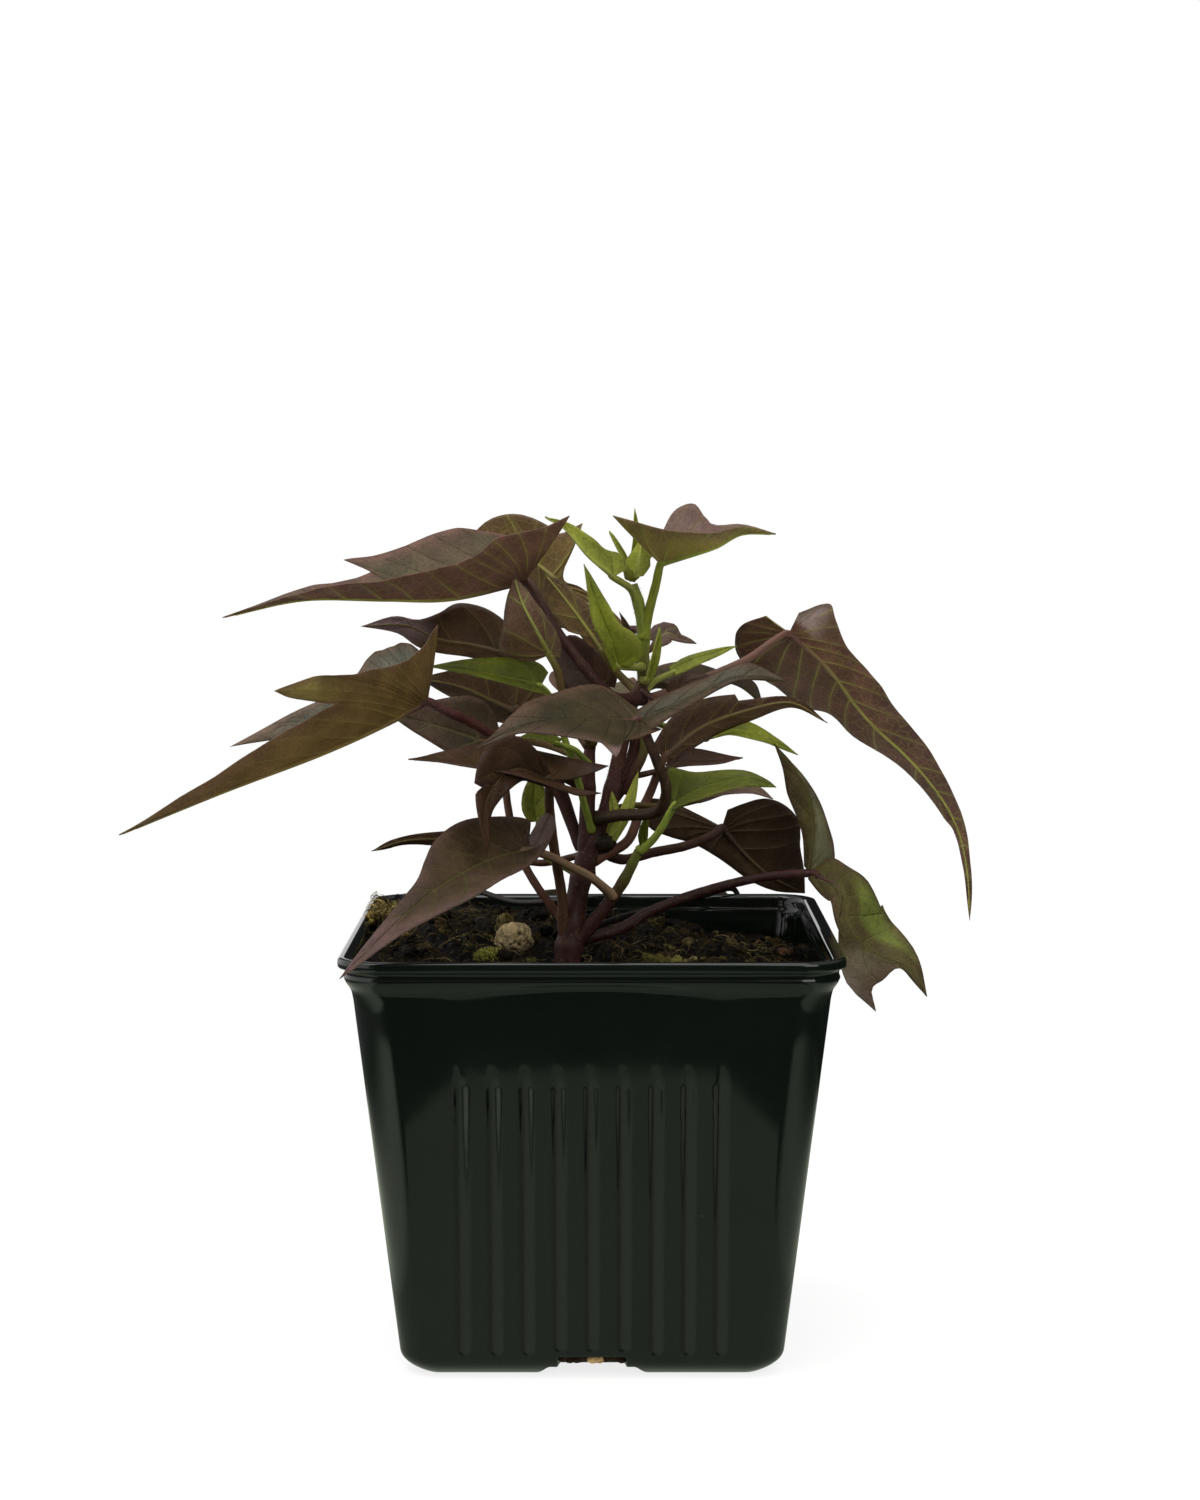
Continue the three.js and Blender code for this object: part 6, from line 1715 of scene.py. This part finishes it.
@dataclass
class Nugget:
    """Tan bark nugget: a ball with ridges and pits, and a smaller one against its back."""

    centre: Point = (-19.0, 5.0, 94.0)
    sizes: Point = (4.8, 3.8, 3.7)

    def build(self, material: Material) -> None:
        """Makes the nugget: a ball swollen by waves, with pits where a noise is low.

        Args:
            material: Its finish.
        """
        p, faces = ball(14)
        x, y, z = p.T
        shape = Shape()
        lumps = ((self.centre, self.sizes, "a08e68", 1), ((-21.3, 9.4, 96.6), (2.5, 2.2, 2.8), "5f5630", 2))
        for centre, sizes, code, seed in lumps:
            wave = 0.07 * (np.sin(5 * x + 1.3) * np.sin(4 * y + 2.6) + np.sin(4 * z + 3.9))
            fine = rugged(x * 11 + z * 5, y * 8 - z * 10 + x * 4, 2.0, seed, 4)
            pits = smoothstep(0.25, 0.7, -fine)
            radius = 1 + wave + 0.07 * fine - 0.12 * pits
            tone = np.clip(0.95 - 0.6 * pits + 0.5 * fine, 0.15, 1.4)
            hue = joined(*(part * tone for part in linear(code)[:3]), 1.0)
            shape.add(p * radius[:, None] * sizes + centre, [faces], hue=hue)
        shape.place("bark_nugget_ridged", [material], "bark", "bark_nugget")


@dataclass
class Moss:
    """Tuft of moss: a low cushion with hundreds of little pointed leaves."""

    centre: Point = (-24.0, -9.0, 91.2)
    sizes: Point = (4.4, 3.4, 2.4)
    sprigs: int = 1200

    def build(self, material: Material) -> None:
        """Makes the tuft: a rough ball stuck all over with spikes.

        Args:
            material: Its finish.
        """
        rng = np.random.default_rng(11)
        points, faces = ball(6)
        shape = Shape()
        shape.add(points * self.sizes * 0.9 + self.centre, [faces], hue=linear("4a4a1c"))
        out = unit(rng.normal(size=(self.sprigs, 3)) * (1, 1, 0.8) + (0, 0, 0.5))
        base = out * self.sizes * 0.86 + self.centre
        lean = unit(out + rng.normal(size=out.shape) * 0.45)
        long = rng.uniform(0.5, 1.4, (self.sprigs, 1))
        side = unit(np.cross(lean, rng.normal(size=out.shape)))
        wide = rng.uniform(0.14, 0.3, (self.sprigs, 1))
        tones = np.array([linear(code) for code in ("8c9238", "7a7630", "a8a854", "585224", "8c8442")])
        hue = np.repeat(tones[rng.integers(0, 5, self.sprigs)], 4, 0)
        shape.add(*spikes(base, base + lean * long, wide, side, np.cross(lean, side)), hue=hue)
        shape.place("moss_tuft", [material], "moss", "moss_patch")


# -------- stems

@dataclass
class Stems:
    """Main stem, its fork and its side shoot, swollen at the joints, with hairs."""

    # Points and radii of the trunk, the fork, the low branch and three short petioles.
    paths: tuple[tuple[tuple[Point, ...], tuple[float, ...]], ...] = (
        (((-6.4, -7, 80), (-5.8, -6, 92), (-4, -4.2, 104), (-1.6, -3, 114), (2, -2, 122), (4.6, -1, 131),
          (6.6, 0, 140), (8, 0, 149), (12, -1, 156), (12, -2, 163), (12, -3, 169), (11, -3, 175),
          (9.6, -3, 180)),
         (3.4, 3.2, 2.6, 2.3, 1.9, 1.8, 1.7, 1.7, 1.6, 1.5, 1.4, 1.3, 1.1)),
        (((-1.4, -3, 110), (-1.4, -2, 120), (-1.2, -1, 129), (-1, 0, 137), (-0.4, 0, 142)),
         (2, 2, 1.8, 1.7, 1.1)),
        (((-4.6, -6, 94), (2, -6.4, 102), (7, -7, 109), (11, -8, 117)), (1.8, 1.5, 1.3, 1)),
        (((-2.6, 0, 116.5), (-5, 1.5, 122.5), (-7, 2.5, 128), (-9.6, 3.5, 134)), (1.4, 1.5, 1.7, 1.5)),
        (((4.2, 0.6, 127), (7.2, 2, 132.5), (9.6, 2.6, 138), (11, 2.4, 144)), (1.5, 1.7, 1.7, 1.5)),
        (((7.4, 1, 130), (10, 0, 135), (12.2, 0, 140), (12.6, 0, 146)), (1.1, 1.2, 1.2, 1.1)),
    )
    # Height from which each of them turns green, past its end where it stays brown.
    green_from: tuple[float, ...] = (152, 300, 104, 300, 300, 134)
    joints: tuple[float, ...] = (94, 99, 110, 114, 118, 131, 143, 154, 160, 167, 176)
    sides: int = 26
    hairs: int = 2600
    hair_half: float = 0.035
    low: str = "361b17"
    high: str = "4e2e27"
    green: str = "77852e"

    def build(self, material: Material) -> None:
        """Makes the stems: tubes whose radius swells by a bell curve at each joint.

        Args:
            material: Their finish.
        """
        shape = Shape()
        turn = np.linspace(0, 2 * np.pi, self.sides, endpoint=False)
        for (path, radii), start in zip(self.paths, self.green_from):
            rings, _, run = rings_along(path, radii, self.sides, 16 * len(path))
            centre = rings.mean(1, keepdims=True)
            z = centre[:, 0, 2:]
            swell = 1 + sum(0.14 * np.exp(-((z - joint) / 1.7) ** 2) for joint in self.joints)
            grooves = 1 + 0.018 * np.sin(5 * turn + 0.09 * run[:, None])
            rings = centre + (rings - centre) * (swell * grooves)[:, :, None]
            hue = lerp(linear(self.low), linear(self.high), smoothstep(95, 150, z))
            hue = lerp(hue, linear(self.green), 0.9 * smoothstep(start, start + 18, z))
            add_stalk(shape, rings, run, hue, turn * 2)
        shape.place("stems_jointed", [material], "stem", "stems")

    def build_hairs(self, material: Material) -> None:
        """Makes short pale hairs on the stems: spikes that stand out and lean up.

        Args:
            material: Their finish.
        """
        rng = np.random.default_rng(21)
        path, radii = self.paths[0]
        t = rng.uniform(0.12, 1, self.hairs)
        centre = catmull(path, t)
        along = unit(catmull(path, np.clip(t + 0.01, 0, 1)) - catmull(path, t - 0.01))
        out = rng.normal(size=centre.shape)
        out = unit(out - along * (out * along).sum(-1, keepdims=True))
        base = centre + out * spread(radii, t)[:, None] * 0.98
        lean = unit(out + along * 0.4 + rng.normal(size=out.shape) * 0.2)
        long = rng.uniform(0.35, 0.8, (self.hairs, 1))
        shape = Shape()
        shape.add(*spikes(base, base + lean * long, self.hair_half, np.cross(lean, along), along),
                  hue=linear("a89a80"))
        shape.place("stem_hairs", [material], "stem")


# -------- studio

@dataclass
class Studio:
    """Pale round table, soft lights and the camera."""

    table: float = 0.24
    table_sides: int = 192
    eye: Point = (0.0018, -0.700, 0.2012)
    pitch: float = 4.97
    lens: float = 70.54

    def build(self) -> None:
        """Makes the table, the surrounding light, the lamps and the camera."""
        self.build_table()
        self.build_world()
        self.lamp("top light", (-0.25, -0.15, 1.1), (0, 0, 0.1), 0.9, 7.5)
        self.lamp("front light", (0.5, -1.1, 0.9), (0, 0, 0.12), 0.8, 5.0)
        camera = bpy.data.objects.new("camera", bpy.data.cameras.new("camera"))
        camera.location = self.eye
        camera.rotation_euler = (math.radians(90 - self.pitch), 0, 0)
        camera.data.lens = self.lens
        camera.data.sensor_width = 36
        camera.data.clip_start = 0.01
        scene = bpy.context.scene
        scene.collection.objects.link(camera)
        scene.camera = camera
        scene.view_settings.view_transform = "Standard"

    def build_table(self) -> None:
        """Makes the pale round table: a disc with a rounded edge, each ring of points a circle."""
        a = np.linspace(0, 2 * np.pi, self.table_sides, endpoint=False)
        radii = np.array([0.02, 0.4, 0.8, 0.99, 1.0, 1.0, 0.98, 0.02])[:, None] * self.table / MM
        heights = np.array([0, 0, 0, 0, -1, -8, -9, -9])[:, None]
        rings = joined(radii * np.cos(a), radii * np.sin(a), heights)
        shape = Shape()
        shape.add(close_tube(rings), [block[:, ::-1] for block in tube_faces(*rings.shape[:2])])
        shape.build("table", [self.paint()])

    def paint(self) -> Material:
        """The table's paint. For glossy rays it is a painted reflection for the pot: dark, but glowing bright
        in front of the pot and beside it.

        Returns:
            The material.
        """
        n = Nodes(bpy.data.materials.new("table paint"))
        where = n.object_space()
        faint = n.ramp(n.noise(where, 30, 3), 0, 1, 0.0, 0.04)
        surface = n.skin(n.mix(faint, linear("f2f2f0"), linear("dcdcd8")), 0.6, glow=0.35)
        x, y, _ = n.split(where)
        # Painted reflection: a greenish glow, seen by glossy rays only, in front of the pot and beside it,
        # where the pot's lower wall and grooves reflect the table
        side = n.largest(n.math("SUBTRACT", n.math("ABSOLUTE", n.math("ADD", x, 0.001)), 0.0365), 0.0)
        near = n.math("SUBTRACT", n.math("ADD", y, 0.2155), n.times(side, 2.6))
        near = n.ramp(near, -0.003, 0.004, 0.03, 0.33)
        beside = n.largest(n.ramp(x, -0.062, -0.1, 0.0, 0.75), n.ramp(x, 0.062, 0.1, 0.0, 0.5))
        beside = n.times(beside, n.ramp(n.math("ABSOLUTE", x), 0.13, 0.22, 1.0, 0.15))
        painted_reflection = n.add("Emission", {"Color": (0.9, 1.0, 0.8, 1), "Strength": n.largest(near, beside)})
        rays = n.add("LightPath").outputs
        surface = n.add("MixShader", {0: rays["Is Glossy Ray"], 1: surface, 2: painted_reflection.outputs[0]}).outputs[0]
        share, white = n.times(rays["Is Camera Ray"], 0.7), n.add("Emission").outputs[0]
        return n.finish(n.add("MixShader", {0: share, 1: surface, 2: white}).outputs[0])

    def build_world(self) -> None:
        """Surrounds the plant with soft light, and white for the camera.

        The light comes from behind and above. Gloss sees less of that, and is shown the left side bright, the
        upper half faintly, and a low bright patch behind on the left.
        """
        world = bpy.data.worlds.new("surround")
        bpy.context.scene.world = world
        n = Nodes(world)
        x, y, z = n.split(n.add("TexCoord").outputs["Generated"])
        light = n.largest(n.ramp(y, -0.75, -0.15, 0.03, 0.85), n.ramp(z, -0.02, 0.5, 0.03, 0.85))
        above = n.largest(n.ramp(y, -0.75, -0.15, 0.03, 0.015), n.ramp(z, 0.3, 0.9, 0.015, 0.5))
        left = n.blend(n.ramp(z, -0.24, -0.02, 0.1, 1.0), 0.015, n.ramp(x, -0.2, -0.65, 0.015, 1.1))
        low = n.blend(n.ramp(x, -0.066, -0.08), 0.015, n.ramp(z, 0.24, 0.17, 0.015, 1.0))
        gloss = n.largest(above, left, n.blend(n.ramp(y, 0.9, 0.96), 0.015, low))
        rays = n.add("LightPath").outputs
        strength = n.blend(rays["Is Camera Ray"], n.blend(rays["Is Glossy Ray"], light, gloss), 1.0)
        shine = n.add("Background", {"Color": (1, 1, 1, 1), "Strength": strength})
        n.add("OutputWorld", {0: shine.outputs[0]})

    def lamp(self, name: str, spot: Point, target: Point, size: float, power: float) -> None:
        """Adds a square soft light.

        Args:
            name: Its name.
            spot: Where it hangs, in metres.
            target: What it faces.
            size: Its width in metres.
            power: Its power in watts.
        """
        data = bpy.data.lights.new(name, "AREA")
        data.size, data.energy = size, power
        lamp = bpy.data.objects.new(name, data)
        back = np.array(spot) - np.array(target)
        pitch = math.atan2(math.hypot(back[0], back[1]), back[2])
        lamp.location = spot
        lamp.rotation_euler = (pitch, 0, math.atan2(back[1], back[0]) + math.pi / 2)
        bpy.context.scene.collection.objects.link(lamp)


def main() -> None:
    """Builds the plant piece by piece, then the studio."""
    logging.basicConfig(level=logging.INFO, format="%(message)s")
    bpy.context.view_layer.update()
    crumb = Tinted("loose crumb", 1500, 0.3).material()
    Pot().build(PotPlastic().material())
    soil = Soil()
    soil.build(Peat().material())
    soil.build_crumbs(crumb)
    soil.build_fibres(Tinted("fibre", 900, 0.05, 0.6).material())
    soil.build_roots(crumb)
    Nugget().build(Tinted("bark", 700, 0.5, 0.35).material())
    Moss().build(Tinted("moss leaf", 900, 0.1, 0.6, 0.7).material())
    skins = [LeafSkin().material(), Stalk().material()]
    stems = Stems()
    stems.build(skins[1])
    stems.build_hairs(Tinted("hair", 400, 0.01, 0.8, 0.5).material())
    for seed, leaf in enumerate(LEAVES):
        leaf.build(seed, skins)
    Studio().build()


if __name__ == "__main__":
    main()
